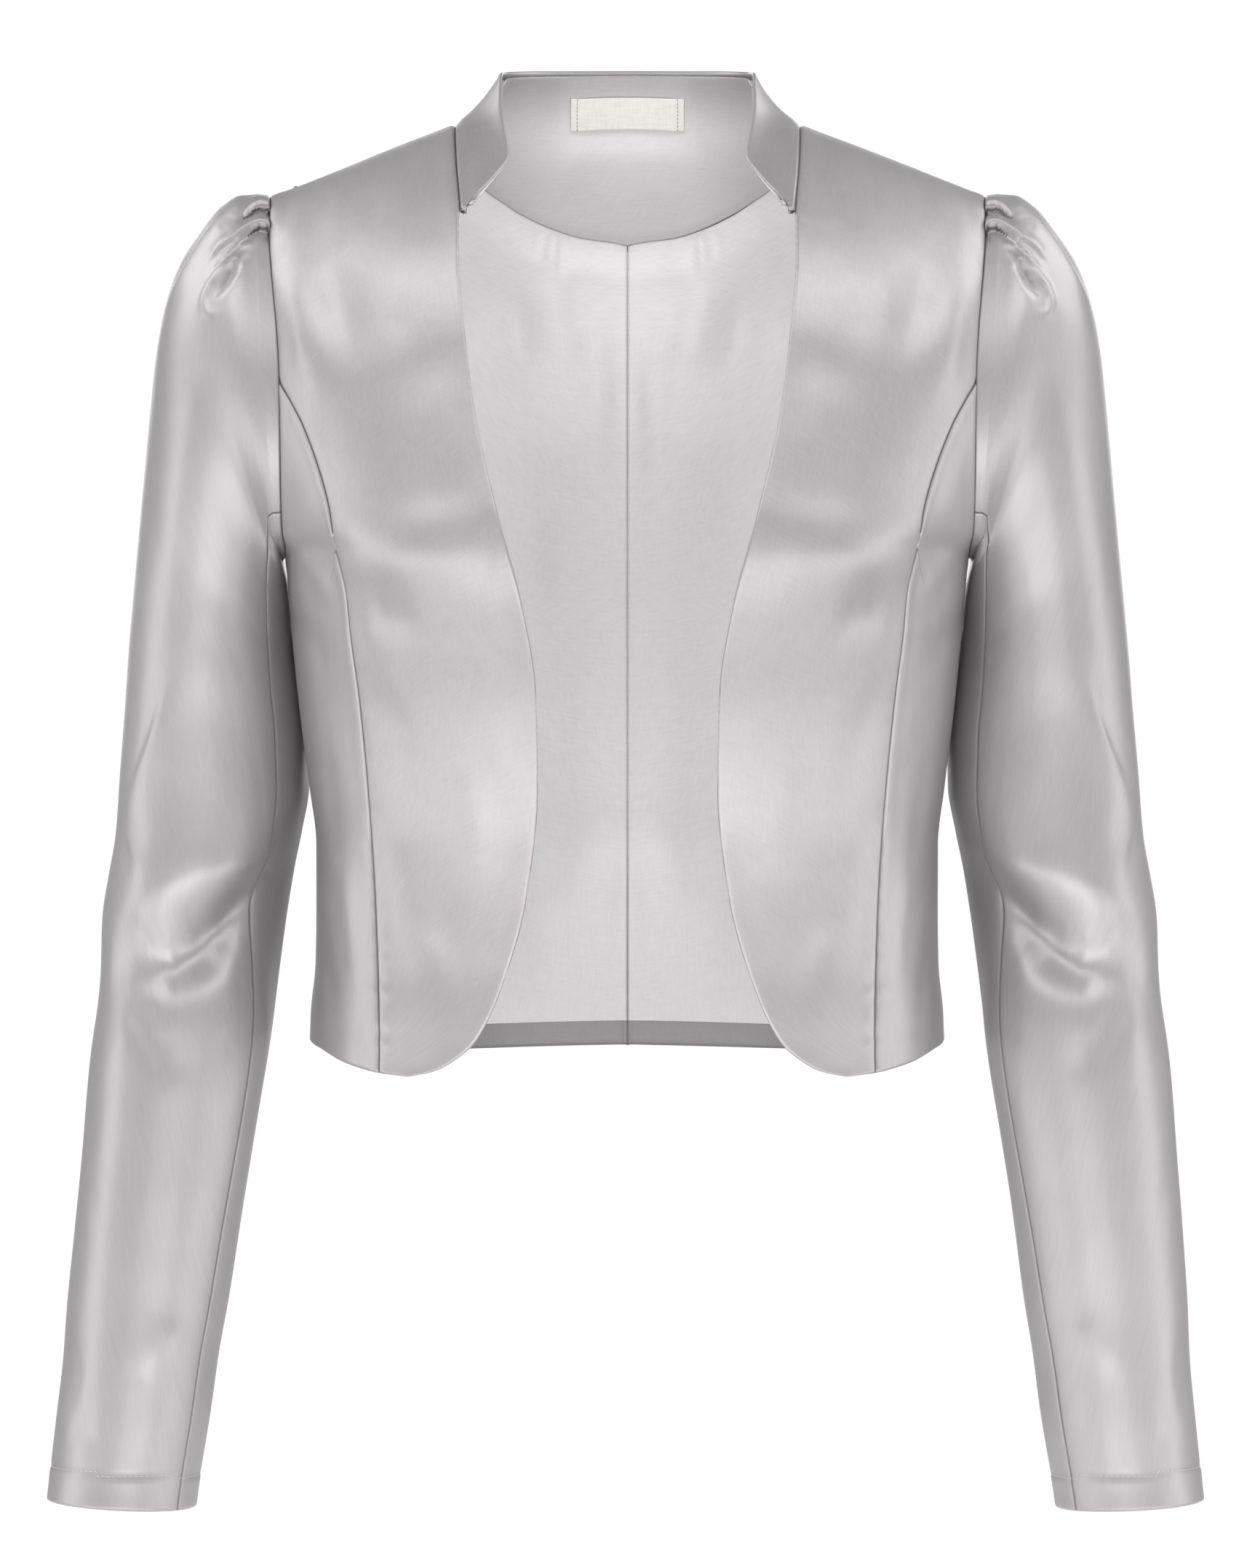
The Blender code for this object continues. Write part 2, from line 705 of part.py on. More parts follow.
def sleeve_middle(side):
    """Point on the sleeve's axis, from which its cloth faces out."""
    def middle(point):
        station = min(SLEEVE[1:], key=lambda row: abs((row.out_z + row.in_z) / 2 - point.z))
        return Vector((side * (station.out_x + station.in_x) / 2, station.middle, point.z))
    return middle


def add_body(side, name):
    """Front, side front and back of one side."""
    half = SEAM_GAP / 2.0
    front = trimmed(on_body(side, front_places()), top=half, left=NECK_GAP, right=half)
    wall("front_" + name, [front], SHELL_WALL, SATIN, body_middle)
    flank = trimmed(on_body(side, side_places()), top=half, left=half, right=half)
    wall("side_front_" + name, [flank], SHELL_WALL, SATIN, body_middle)
    first, second, hem = back_places()
    whole = on_body(side, first + second[1:] + hem[1:])
    back = trimmed(whole, top=NECK_GAP, left=half, right=half)
    wall("back_" + name, [back], SHELL_WALL, SATIN, body_middle)
    lining = trimmed(on_body(side, second), top=half, left=LINING_SIDE_GAP, right=half)
    wall("lining_" + name, [lining], LINING_WALL, LINING, body_middle, LINING_WALL + SEAM_GAP)


def add_collar():
    """Collar, and the neck facing that lines it and runs on down the back."""
    collar = both_sides(collar_grid(-1), collar_grid(1))
    wall("collar", [collar], SHELL_WALL, SATIN, body_middle)
    first = back_places()[0]
    lower = both_sides(list_reversed(on_body(-1, first)), list_reversed(on_body(1, first)))
    lower = trimmed(lower, bottom=SEAM_GAP / 2.0)
    upper = collar + both_sides([neck_line(-1)], [neck_line(1)])
    wall("neck_facing", [upper, lower], LINING_WALL, SATIN, body_middle, LINING_WALL + FACING_GAP)
    label = both_sides(
        collar_grid(-1, LABEL_BOTTOM, LABEL_TOP, 1), collar_grid(1, LABEL_BOTTOM, LABEL_TOP, 1)
    )
    centre = len(label[0]) // 2
    label = [line[centre - LABEL_HALF_COLUMNS:centre + LABEL_HALF_COLUMNS + 1] for line in label]
    inset = LABEL_WALL + LINING_WALL + FACING_GAP + SEAM_GAP
    wall("label", [label], LABEL_WALL, LABEL, body_middle, inset)


def list_reversed(grid):
    """The grid with its lines run from the centre back outwards."""
    return [list(reversed(line)) for line in grid]


def add_sleeve(side, name):
    """Sleeve of one side."""
    wall("sleeve_" + name, [sleeve_seamed(sleeve_grid(side))], SHELL_WALL, SATIN, sleeve_middle(side))


def sleeve_seamed(grid):
    """The rings, opened by the gap of the sleeve's own seam."""
    return trimmed(grid, left=SEAM_GAP / 2.0, right=SEAM_GAP / 2.0)


def main():
    """Make every piece of the jacket."""
    for old in list(bpy.data.objects):
        bpy.data.objects.remove(old, do_unlink=True)
    collection = bpy.data.collections.new(OBJECT_NAME)
    bpy.context.scene.collection.children.link(collection)
    for side, name in ((1, "left"), (-1, "right")):
        add_body(side, name)
        add_sleeve(side, name)
    add_collar()


main()
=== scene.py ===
"""Satin bolero jacket, held in its worn shape, in a plain pale studio.

Each cut piece is a thin shell of cloth on the form of its solid, with its creases, seams and turned
edges. Stitches are laid along the cuffs and the label's ends. Metres, +Z up, the front faces -Y, +X is
the wearer's left.
"""

from collections import namedtuple
import math

import bpy
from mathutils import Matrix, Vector
import numpy as np


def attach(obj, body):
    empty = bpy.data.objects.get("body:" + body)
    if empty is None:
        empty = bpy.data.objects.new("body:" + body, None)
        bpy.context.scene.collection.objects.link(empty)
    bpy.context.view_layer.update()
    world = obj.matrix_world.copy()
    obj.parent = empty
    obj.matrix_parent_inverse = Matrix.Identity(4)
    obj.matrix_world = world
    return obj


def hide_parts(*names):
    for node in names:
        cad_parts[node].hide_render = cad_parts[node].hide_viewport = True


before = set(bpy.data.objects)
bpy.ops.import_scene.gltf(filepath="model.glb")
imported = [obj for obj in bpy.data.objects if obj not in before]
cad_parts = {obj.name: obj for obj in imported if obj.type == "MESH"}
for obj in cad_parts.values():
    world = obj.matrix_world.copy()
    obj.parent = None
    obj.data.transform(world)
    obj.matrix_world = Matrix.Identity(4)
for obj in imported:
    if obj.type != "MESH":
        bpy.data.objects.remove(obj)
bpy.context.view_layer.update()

# Camera, level with the middle of the jacket, the floor and the light
CAMERA_DISTANCE = 3.0
CAMERA_HEIGHT = -0.315
FRAME_HEIGHT = 0.7546
SENSOR_HEIGHT = 24.0
FLOOR_HEIGHT = -0.82
FLOOR_RADIUS = 0.80
LIGHT_AIM = (0.0, 0.0, -0.30)
SURROUND = 0.37
WHITE = (1.0, 1.0, 1.0, 1.0)

# Thickness of the cloth, the space between its layers, and how far the lining stands off the back
SHELL_WALL = 0.0012
LINING_WALL = 0.0008
LABEL_WALL = 0.0007
LAYER_GAP = 0.0004
LINING_CLEARANCE = 0.0031

# Turned edges: how far the edge is rounded, and how the turned layers swell beside it
EDGE_ROUND = 0.0014
EDGE_SWELL = 0.0003
EDGE_REACH = 0.006
# Seams: the groove, the turned allowances beside it, and small puckers
SEAM_DEPTH = 0.0009
SEAM_REACH = 0.0007
ALLOWANCE_RISE = 0.00025
ALLOWANCE_REACH = 0.004
PUCKER_RISE = 0.00016
PUCKER_REACH = 0.0035
# Marks of seams and of painted shade: the mark that is darkest, and the share of the colour that is left
# there
MARK_FULL = 1.6
MARK_TONE = 0.072
# Distances of the grid lines beside a seam or a turned edge
CLOSE_LINES = (0.0, 0.0003, 0.0007, 0.0011, 0.0016, 0.0023, 0.0032, 0.0044)
# Places of a grid's left and right edge among its four edges
LEFT_EDGE = 2
RIGHT_EDGE = 3

# Shoulder line: its peak, its fall for each metre out, and its turn at the centre; and how the depth of
# the body grows under it
SHOULDER_PEAK = 0.0312
SHOULDER_FALL = 0.3767
SHOULDER_SOFTNESS = 0.012
SHOULDER_SAG = 0.0012
SHOULDER_DROP = 0.11
SHOULDER_POWER = 0.55

# Level sections of the body, its fullest place at the bust, and where the armholes start to shape it
SECTION_POWER = 2.3
BUST_X = 0.088
BUST_Z = -0.212
BUST_REACH_X = 0.050
BUST_REACH_Z = 0.055
BUST_RISE = 0.010
FORM_START = 0.100
FORM_END = 0.150

# Places of seams and edges, in metres or in degrees of turn
NECK_X = 0.0826
TIP_X = 0.1718
PIT_Z = -0.205
SIDE = 90.0
CENTRE_BACK = 180.0
SLEEVE_SEAM = 141.0
PRINCESS_TURN = 92.4

# Lining: the strip of satin under it, how full its folds are, and the shade painted on it towards the hem
LINING_HEM = 0.013
LINING_FOLDS = 1.25
LINING_PAINTED_SHADE = 0.8
LINING_PAINTED_SHADE_REACH = 0.15

# Collar: its hollow sides, its rise over the neck seam, the rounds of its corners and of its centre
# back, and how its tips run out
COLLAR_SAG = 0.0018
COLLAR_RISE = 0.0006
CORNER_ROUNDS = 6
MIDDLE_ROUNDS = 80
MIDDLE_WIDTH = 10.0
TIP_REACH = 0.008
TIP_TAPER = 0.8

# Neck facing: how far up the collar it goes, its fold at the neck, its lower edge, how short its front ends
# are and the shade painted on them
FACING_TOP = 0.955
FACING_FOLD_ROWS = 6.0
FACING_FOLD_ROUNDS = 60
FACING_RISE = 0.0014
FACING_END_SHORT = 6
FACING_END_PAINTED_SHADE = 0.4

# Label: its place and size, and how far in its stitches are
LABEL_DROP = 0.0108
LABEL_DEEP = 0.0155
LABEL_WIDE = 0.0562
LABEL_STITCH = 0.0028

# Cuff: its line of stitches over the edge, the groove along it and the thicker hem under it; and how
# much the folds are softened at the sleeve's sides
CUFF_STITCH = 0.0165
CUFF_GROOVE = 0.00035
CUFF_GROOVE_REACH = 0.0008
CUFF_RISE = 0.0003
SIDE_ROUNDS = 40

# Stitches: from one to the next, their length and thickness
CUFF_THREAD = {"Pitch": 0.0026, "Length": 0.0020, "Thickness": 0.0003}
LABEL_THREAD = {"Pitch": 0.0017, "Length": 0.0011, "Thickness": 0.00042}

# Uneven dents of each piece: seed, size and rise
DENTS = {
    "body": (3, 0.11, 0.0005), "lining": (8, 0.07, 0.0006), "collar": (11, 0.05, 0.0003),
    "facing": (13, 0.05, 0.0004), "label": (17, 0.02, 0.0001), "sleeve": (21, 0.10, 0.0009),
}


def rows(columns, *values):
    """A small table with named columns."""
    row = namedtuple("Row", columns)
    return [row(*value) for value in values]


# Level sections of the body, on the inside of the shell: the width at the sides, the width that shapes
# the front and the back away from the armholes, and the depths
BODY = rows(
    "height half_width form_width front back",
    (-0.46, 0.151, 0.151, 0.096, 0.098),
    (-0.428, 0.1508, 0.1508, 0.0935, 0.093),
    (-0.4, 0.1483, 0.1483, 0.0915, 0.088),
    (-0.372, 0.1479, 0.1479, 0.091, 0.084),
    (-0.344, 0.1479, 0.1479, 0.092, 0.082),
    (-0.316, 0.1511, 0.1511, 0.0955, 0.084),
    (-0.28, 0.1558, 0.1562, 0.102, 0.089),
    (-0.25, 0.159, 0.1607, 0.1085, 0.094),
    (-0.222, 0.1615, 0.1662, 0.113, 0.098),
    (-0.205, 0.163, 0.1698, 0.114, 0.1),
    (-0.196, 0.169, 0.1717, 0.114, 0.1005),
    (-0.18, 0.1745, 0.175, 0.1125, 0.101),
    (-0.15, 0.1805, 0.1805, 0.1085, 0.1),
    (-0.12, 0.1835, 0.1835, 0.103, 0.097),
    (-0.07, 0.188, 0.188, 0.092, 0.088),
    (-0.02, 0.19, 0.19, 0.082, 0.076),
    (0.04, 0.19, 0.19, 0.076, 0.07),
)

# Sideways place of the armhole seam
ARMHOLE = rows(
    "height across",
    (-0.205, 0.163),
    (-0.19, 0.1636),
    (-0.15, 0.1637),
    (-0.12, 0.1643),
    (-0.1, 0.1656),
    (-0.085, 0.1672),
    (-0.07, 0.169),
    (-0.055, 0.1706),
    (-0.033, 0.1718),
)

# Neck seam and lower edge of the neck facing, seen from above
NECK_BACK = ((0.0, 0.0558), (0.029, 0.0518), (0.056, 0.0395), (0.075, 0.02), (0.0826, 0.0))
NECK_FRONT = ((0.0826, 0.0), (0.0824, -0.02), (0.0813, -0.043), (0.0789, -0.065))
FACING_EDGE = (
    (0.0, 0.0784), (0.0219, 0.0748), (0.0358, 0.0702), (0.0516, 0.0622),
    (0.06, 0.0562), (0.0716, 0.0459), (0.085, 0.0245), (0.093, 0.0),
)

# Upper edge of the collar, from the centre back over its front corner to its end
COLLAR_TOP = (
    (0.0, 0.048, 0.0335), (0.028, 0.043, 0.0328), (0.047, 0.029, 0.031),
    (0.0575, 0.012, 0.0285), (0.0594, -0.002, 0.0265),
)
COLLAR_FRONT = ((0.0594, -0.002, 0.0265), (0.0598, -0.013, 0.013), (0.0555, -0.038, -0.0185))
COLLAR_END = ((0.0555, -0.038, -0.0185), (0.067, -0.0535, -0.0335), (0.0768, -0.0632, -0.044))

# Front edge from the end of the collar to the hem, and the princess seam, seen from the front
FRONT_EDGE = (
    (0.0789, -0.0464), (0.0788, -0.0683), (0.0776, -0.0863), (0.0757, -0.1042), (0.0703, -0.1443),
    (0.0592, -0.1919), (0.0487, -0.232), (0.0425, -0.2722), (0.0417, -0.3174), (0.0472, -0.369),
    (0.0591, -0.4111), (0.0713, -0.4359), (0.0801, -0.444), (0.0901, -0.4496), (0.1024, -0.4524),
)
PRINCESS = (
    (0.1641, -0.1249), (0.1585, -0.1346), (0.1525, -0.1461), (0.1433, -0.1704), (0.1371, -0.1921),
    (0.1308, -0.2227), (0.1295, -0.2416), (0.1253, -0.2753), (0.1214, -0.3174), (0.1177, -0.3768),
    (0.1162, -0.4326), (0.1162, -0.451),
)

# Height of the hem round the body, from the front to the centre back
HEM = rows(
    "turn height",
    (39.0, -0.4524),
    (47.0, -0.451),
    (59.0, -0.447),
    (75.0, -0.4405),
    (90.0, -0.4385),
    (110.0, -0.441),
    (140.0, -0.4465),
    (180.0, -0.4445),
)

# Sleeve rings: the outer and the inner point of each, half its depth, where its middle lies from front to
# back, how far it leans and how round it is
SLEEVE = rows(
    "ring out_x out_z in_x in_z depth middle lean round",
    (1, 0.1782, -0.0313, 0.1662, -0.2065, 0.056, 0.0, 0.0, 0.05),
    (2, 0.1859, -0.0315, 0.1672, -0.209, 0.0575, 0.002, 0.02, 0.15),
    (3, 0.1957, -0.0371, 0.1663, -0.213, 0.0585, 0.004, 0.05, 0.3),
    (4, 0.2055, -0.049, 0.1651, -0.218, 0.059, 0.007, 0.08, 0.45),
    (5, 0.2146, -0.0627, 0.1642, -0.2235, 0.0585, 0.01, 0.11, 0.6),
    (6, 0.2212, -0.0791, 0.1634, -0.229, 0.058, 0.012, 0.13, 0.72),
    (7, 0.2265, -0.1036, 0.1626, -0.2345, 0.057, 0.013, 0.15, 0.84),
    (8, 0.23, -0.1337, 0.1619, -0.2405, 0.056, 0.014, 0.16, 0.94),
    (9, 0.2335, -0.1687, 0.1606, -0.2475, 0.0545, 0.015, 0.16, 1.0),
    (10, 0.2366, -0.203, 0.1592, -0.257, 0.0535, 0.016, 0.16, 1.0),
    (11, 0.2398, -0.2422, 0.1571, -0.272, 0.0525, 0.016, 0.16, 1.0),
    (12, 0.2426, -0.2825, 0.1552, -0.295, 0.0515, 0.017, 0.14, 1.0),
    (13, 0.245, -0.314, 0.1555, -0.316, 0.051, 0.017, 0.12, 1.0),
    (14, 0.2468, -0.3402, 0.159, -0.337, 0.0505, 0.017, 0.1, 1.0),
    (15, 0.2499, -0.3577, 0.1624, -0.3545, 0.05, 0.016, 0.08, 1.0),
    (16, 0.2534, -0.3805, 0.1655, -0.376, 0.049, 0.013, 0.06, 1.0),
    (17, 0.2552, -0.4102, 0.169, -0.406, 0.0475, 0.009, 0.04, 1.0),
    (18, 0.258, -0.4417, 0.1722, -0.437, 0.046, 0.004, 0.02, 1.0),
    (19, 0.2611, -0.4837, 0.1782, -0.479, 0.044, -0.003, 0.0, 1.0),
    (20, 0.265, -0.5275, 0.1845, -0.523, 0.042, -0.011, 0.0, 1.0),
    (21, 0.2678, -0.5642, 0.1897, -0.56, 0.04, -0.017, 0.0, 1.0),
    (22, 0.2688, -0.5887, 0.1942, -0.586, 0.0385, -0.021, 0.0, 1.0),
    (23, 0.2713, -0.6167, 0.1981, -0.615, 0.0372, -0.025, 0.0, 1.0),
    (24, 0.2737, -0.643, 0.2026, -0.6425, 0.0362, -0.028, 0.0, 1.0),
    (25, 0.2744, -0.6556, 0.2052, -0.659, 0.0358, -0.03, 0.0, 1.0),
)

# Creases, laid outwards or downwards by how far out and how high they show, in millimetres: the height
# of each, its reach above it or on its outer side, its reach below or on its inner side, and how much of
# it is there at its start and at its end
CREASE = "path rise above below start end"
SLEEVE_HEAD = rows(
    CREASE,
    # first pleat: the fold that lies over, and the mouth under it
    (((170.5, -38.6), (173.7, -36.6), (176.5, -36.2), (180, -37.4), (184, -40.6), (189, -45.4)),
     1.5, 6.0, 0.9, 1.0, 0.0),
    (((170.5, -41.4), (173.6, -39.5), (176.2, -39.1), (179.6, -40.2), (183.2, -43.2), (187, -47)),
     -1.7, 0.9, 3.0, 1.0, 0.0),
    # long soft edge down the outer side of the head
    (((188, -38.4), (191.3, -40.3), (198, -46.2), (204.6, -55.1), (209.8, -63.9), (214.9, -72.7), (220, -83),
      (223.5, -93)), 0.9, 2.2, 9.0, 0.2, 0.0),
    # second pleat: its fold runs on down the head, and the mouth under it opens into a hollow
    (((170.5, -48.6), (174.4, -45.8), (176.8, -45.5), (179.8, -46.2), (183.4, -48), (187.2, -50.8),
      (191, -54.4), (195.4, -57.8), (199, -61.4), (203, -65.6)), 2.0, 5.0, 1.2, 1.0, 0.0),
    (((170.5, -51.4), (174.2, -48.6), (176.4, -48.3), (179.2, -49.2), (182.8, -51.4), (187, -55.4),
      (191.6, -60.6), (196.4, -66.2), (200.6, -72)), -2.0, 1.0, 3.6, 1.0, 0.0),
    # third soft fold under it, which turns back at its end round a deep hollow
    (((186.6, -55.6), (190, -60.6), (193.8, -65.6), (198.2, -72.8), (201.8, -79.2), (202.8, -84.6),
      (200.4, -89.2), (195.8, -88.6), (191.3, -84)), 1.3, 3.2, 2.2, 0.4, 0.0),
    (((185.4, -58.4), (188.4, -65), (192.2, -72.6), (196.4, -80.4), (198, -84.4)), -2.4, 2.2, 3.6, 0.6, 0.0),
)
# Shade painted in the mouths of the pleats, where no light reaches: path and half width in millimetres, and
# strength
MOUTHS_PAINTED_SHADE = rows(
    "path wide strength",
    (((171.2, -41), (173.4, -39.2), (176.1, -38.7), (179, -39.4), (181.9, -41.5), (184.6, -44)), 0.75, 1.6),
    (((171.2, -50.8), (174.2, -48.2), (176.6, -47.9), (179.5, -48.9), (182.4, -50.9)), 0.85, 1.6),
    (((186.4, -60.2), (189.6, -66.4), (193.4, -73.8), (196.8, -80.4)), 1.5, 0.5),
)
SLEEVE_ARM = rows(
    CREASE,
    # long edge down the outer side above the elbow
    (((217, -255), (226, -290), (236, -320), (245, -345)), 1.3, 2.2, 9.0, 0.0, 1.0),
    # the elbow: a broad rise to the full fold, then the deep hollow under it
    (((168, -346), (190, -350), (210, -357), (228, -366), (246, -378)), 6.0, 75.0, 22.0, 0.5, 0.5),
    (((180, -348), (195, -352), (210, -357), (226, -364), (238, -371), (250, -379)),
     3.0, 24.0, 20.0, 0.4, 0.4),
    (((170, -367), (181, -374), (193, -383.5), (204, -393.5), (214, -401), (226, -405), (238, -406)),
     -9.5, 13.0, 11.0, 0.8, 0.1),
    # the forearm, full under the elbow, and its small hollows
    (((196, -432), (214, -436), (236, -440)), 6.0, 34.0, 95.0, 1.0, 1.0),
    (((240, -412), (230, -432), (221, -452), (216, -462)), -1.7, 6.5, 7.5, 0.1, 0.0),
    (((262, -502), (256, -518), (251, -532)), -1.0, 5.0, 6.0, 0.3, 0.0),
    (((213, -572), (225, -586), (239, -601)), 0.8, 9.0, 6.0, 0.0, 0.0),
    (((268, -588), (265, -600), (262, -610)), -1.4, 3.0, 6.0, 0.9, 0.0),
    (((252, -622), (266, -626), (272, -628)), -0.9, 9.0, 7.0, 0.0, 0.5),
    # soft lengthwise drag on the upper arm
    (((196, -110), (193, -160), (190, -215)), -0.6, 9.0, 12.0, 0.0, 0.0),
    (((212, -120), (214, -170), (214, -235)), 0.5, 10.0, 12.0, 0.0, 0.0),
)
SLEEVE_BEHIND = rows(
    CREASE,
    (((172, -44), (180, -44), (190, -51), (200, -64), (206, -80)), 2.4, 6.0, 1.8, 1.0, 0.0),
    (((172, -48), (180, -48.5), (189, -56), (197, -70), (200, -84)), -2.2, 1.8, 4.5, 1.0, 0.0),
    (((171, -58), (178, -57), (186, -64), (193, -77)), 2.2, 5.0, 1.8, 1.0, 0.0),
    (((171, -62), (178, -62), (185, -70), (191, -84)), -2.0, 1.8, 4.5, 1.0, 0.0),
    (((168, -300), (190, -316), (214, -322)), 1.6, 12.0, 9.0, 0.3, 0.0),
    (((166, -328), (188, -342), (216, -349), (238, -350)), -2.0, 10.0, 9.0, 0.4, 0.1),
    (((170, -356), (196, -369), (224, -374)), 1.8, 10.0, 8.0, 0.3, 0.0),
    (((178, -384), (202, -398), (232, -402)), -1.6, 9.0, 12.0, 0.3, 0.0),
    (((200, -455), (222, -470), (246, -474)), 0.9, 12.0, 12.0, 0.0, 0.0),
    (((216, -545), (232, -556), (252, -558)), -0.8, 12.0, 12.0, 0.0, 0.0),
    (((238, -600), (252, -606), (266, -606)), 0.8, 10.0, 10.0, 0.0, 0.0),
)
FRONT_FORM = rows(
    CREASE,
    # soft drag from the armhole over the chest
    (((164, -56), (159, -82), (153, -110), (147, -142)), 2.2, 9.0, 13.0, 0.5, 0.0),
    (((146, -60), (137, -86), (129, -122)), -1.6, 10.0, 12.0, 0.0, 0.0),
    (((112, -70), (104, -104), (98, -146)), -0.8, 14.0, 14.0, 0.0, 0.0),
    (((94, -110), (84, -150), (76, -176)), 0.9, 13.0, 13.0, 0.0, 0.0),
    # the full bust: a band that runs from the princess seam to the front edge, and the hollow under it
    (((150, -184), (134, -197), (112, -203), (90, -200), (66, -184)), 3.6, 19.0, 17.0, 0.1, 0.2),
    (((126, -230), (112, -234), (96, -238)), -1.3, 9.0, 16.0, 0.0, 0.0),
    (((158, -200), (147, -216), (138, -232)), 1.4, 7.0, 9.0, 0.6, 0.0),
    (((160, -234), (148, -250), (139, -262)), -1.2, 7.0, 9.0, 0.6, 0.0),
    # the waist and the hem
    (((118, -262), (108, -300), (100, -345)), -0.9, 10.0, 11.0, 0.0, 0.0),
    (((86, -300), (76, -330), (70, -365)), 1.0, 11.0, 10.0, 0.0, 0.0),
    (((148, -290), (140, -330), (136, -372)), -0.8, 8.0, 9.0, 0.0, 0.0),
    (((116, -330), (106, -370), (98, -415)), 0.8, 8.0, 9.0, 0.0, 0.2),
    (((136, -350), (130, -390), (128, -430)), 0.8, 7.0, 8.0, 0.0, 0.2),
    (((100, -380), (88, -410), (86, -438)), -0.8, 7.0, 8.0, 0.0, 0.3),
    (((146, -380), (142, -410), (140, -436)), -0.7, 6.0, 7.0, 0.0, 0.3),
)
BACK_FORM = rows(
    CREASE,
    (((150, -62), (130, -92), (104, -112)), 1.0, 14.0, 12.0, 0.2, 0.0),
    (((156, -110), (140, -142), (116, -160)), -1.1, 12.0, 12.0, 0.3, 0.0),
    (((158, -168), (138, -192), (112, -200)), 1.1, 11.0, 12.0, 0.4, 0.0),
    (((64, -60), (56, -130), (54, -200)), -0.7, 14.0, 16.0, 0.0, 0.0),
    (((92, -262), (88, -320), (96, -382)), 0.9, 11.0, 12.0, 0.0, 0.0),
    (((48, -280), (42, -340), (46, -410)), -1.0, 10.0, 11.0, 0.0, 0.2),
    (((126, -300), (120, -350), (124, -420)), -0.9, 10.0, 10.0, 0.0, 0.2),
    (((20, -300), (16, -350), (20, -420)), 0.8, 8.0, 9.0, 0.0, 0.1),
)
# Lining, seen through the open front: gathers under the facing, then soft hollows
LINING_FORM = rows(
    CREASE,
    (((36.5, -50), (38, -58), (37.5, -66)), -1.0, 1.2, 1.6, 1.0, 0.0),
    (((32.5, -52), (33, -62), (31.5, -72)), -0.9, 1.4, 1.8, 1.0, 0.0),
    (((29.5, -52), (29, -59), (27.5, -64)), -0.7, 1.2, 1.4, 1.0, 0.0),
    (((43, -49), (45, -57), (46, -62)), -0.5, 1.4, 1.8, 1.0, 0.0),
    (((40, -64), (34, -92), (26, -126)), 1.4, 9.0, 10.0, 0.2, 0.0),
    (((62, -66), (54, -96), (50, -132)), -1.6, 9.0, 9.0, 0.0, 0.0),
    (((18, -84), (14, -134), (16, -190)), -1.3, 7.0, 9.0, 0.0, 0.0),
    (((46, -150), (34, -196), (28, -250)), 1.3, 9.0, 10.0, 0.0, 0.0),
    (((10, -200), (18, -260), (20, -330)), 1.1, 8.0, 9.0, 0.0, 0.0),
    (((36, -270), (34, -320), (40, -380)), -1.3, 8.0, 10.0, 0.0, 0.1),
    (((8, -330), (12, -380), (12, -424)), -0.9, 6.0, 8.0, 0.0, 0.2),
    (((58, -330), (54, -380), (58, -424)), 1.0, 8.0, 9.0, 0.0, 0.2),
)


def smooth_value(keys, values, place):
    """Values at places on a curve through the given values, with no overshoot."""
    keys = np.asarray(keys, float)
    values = np.asarray(values, float)
    steps = np.diff(keys)
    slopes = np.diff(values) / steps
    product = slopes[:-1] * slopes[1:]
    total = np.where(product > 0.0, slopes[:-1] + slopes[1:], 1.0)
    inner = np.where(product > 0.0, 2.0 * product / total, 0.0)
    tangents = np.concatenate([slopes[:1], inner, slopes[-1:]])
    place = np.clip(place, keys[0], keys[-1])
    i = np.clip(np.searchsorted(keys, place, side="right") - 1, 0, len(keys) - 2)
    f = (place - keys[i]) / steps[i]
    ends = (2 * f**3 - 3 * f**2 + 1) * values[i] + (3 * f**2 - 2 * f**3) * values[i + 1]
    bends = (f**3 - 2 * f**2 + f) * tangents[i] + (f**3 - f**2) * tangents[i + 1]
    return ends + steps[i] * bends


def read(table, column, place):
    """A column's values at places between the rows."""
    return smooth_value([row[0] for row in table], [getattr(row, column) for row in table], place)


def along(points, shares):
    """Points at shares of the length of a smooth path through the given points."""
    points = np.asarray(points, float)
    lengths = np.concatenate([[0.0], np.cumsum(np.linalg.norm(np.diff(points, axis=0), axis=1))])
    place = np.asarray(shares) * lengths[-1]
    return np.stack([smooth_value(lengths, points[:, c], place) for c in range(points.shape[1])], axis=-1)


def shares(count, length, start=False, end=False):
    """Shares along an edge, closer together beside a seam or a turned edge."""
    close = np.array(CLOSE_LINES) / length
    first = close if start else np.array([0.0])
    last = 1.0 - close[::-1] if end else np.array([1.0])
    middle = np.linspace(first[-1], last[0], count + 3 - len(first) - len(last))[1:-1]
    return np.concatenate([first, middle, last])


def shoulder_height(x):
    """Height of the shoulder line at a distance from the centre."""
    return SHOULDER_PEAK - SHOULDER_FALL * (np.hypot(x, SHOULDER_SOFTNESS) - SHOULDER_SAG)


def body_depth(x, z, front):
    """Depth of the body before its level section rounds it off."""
    drop = np.clip((shoulder_height(x) - z) / SHOULDER_DROP, 0.0, 1.0)
    arch = (1.0 - (1.0 - drop) ** 2) ** SHOULDER_POWER
    away = (np.maximum(np.abs(x) - BUST_X, 0.0) / BUST_REACH_X) ** 2 + ((z - BUST_Z) / BUST_REACH_Z) ** 2
    before = read(BODY, "front", z) + BUST_RISE * np.exp(-away)
    return np.where(front, before, read(BODY, "back", z)) * arch


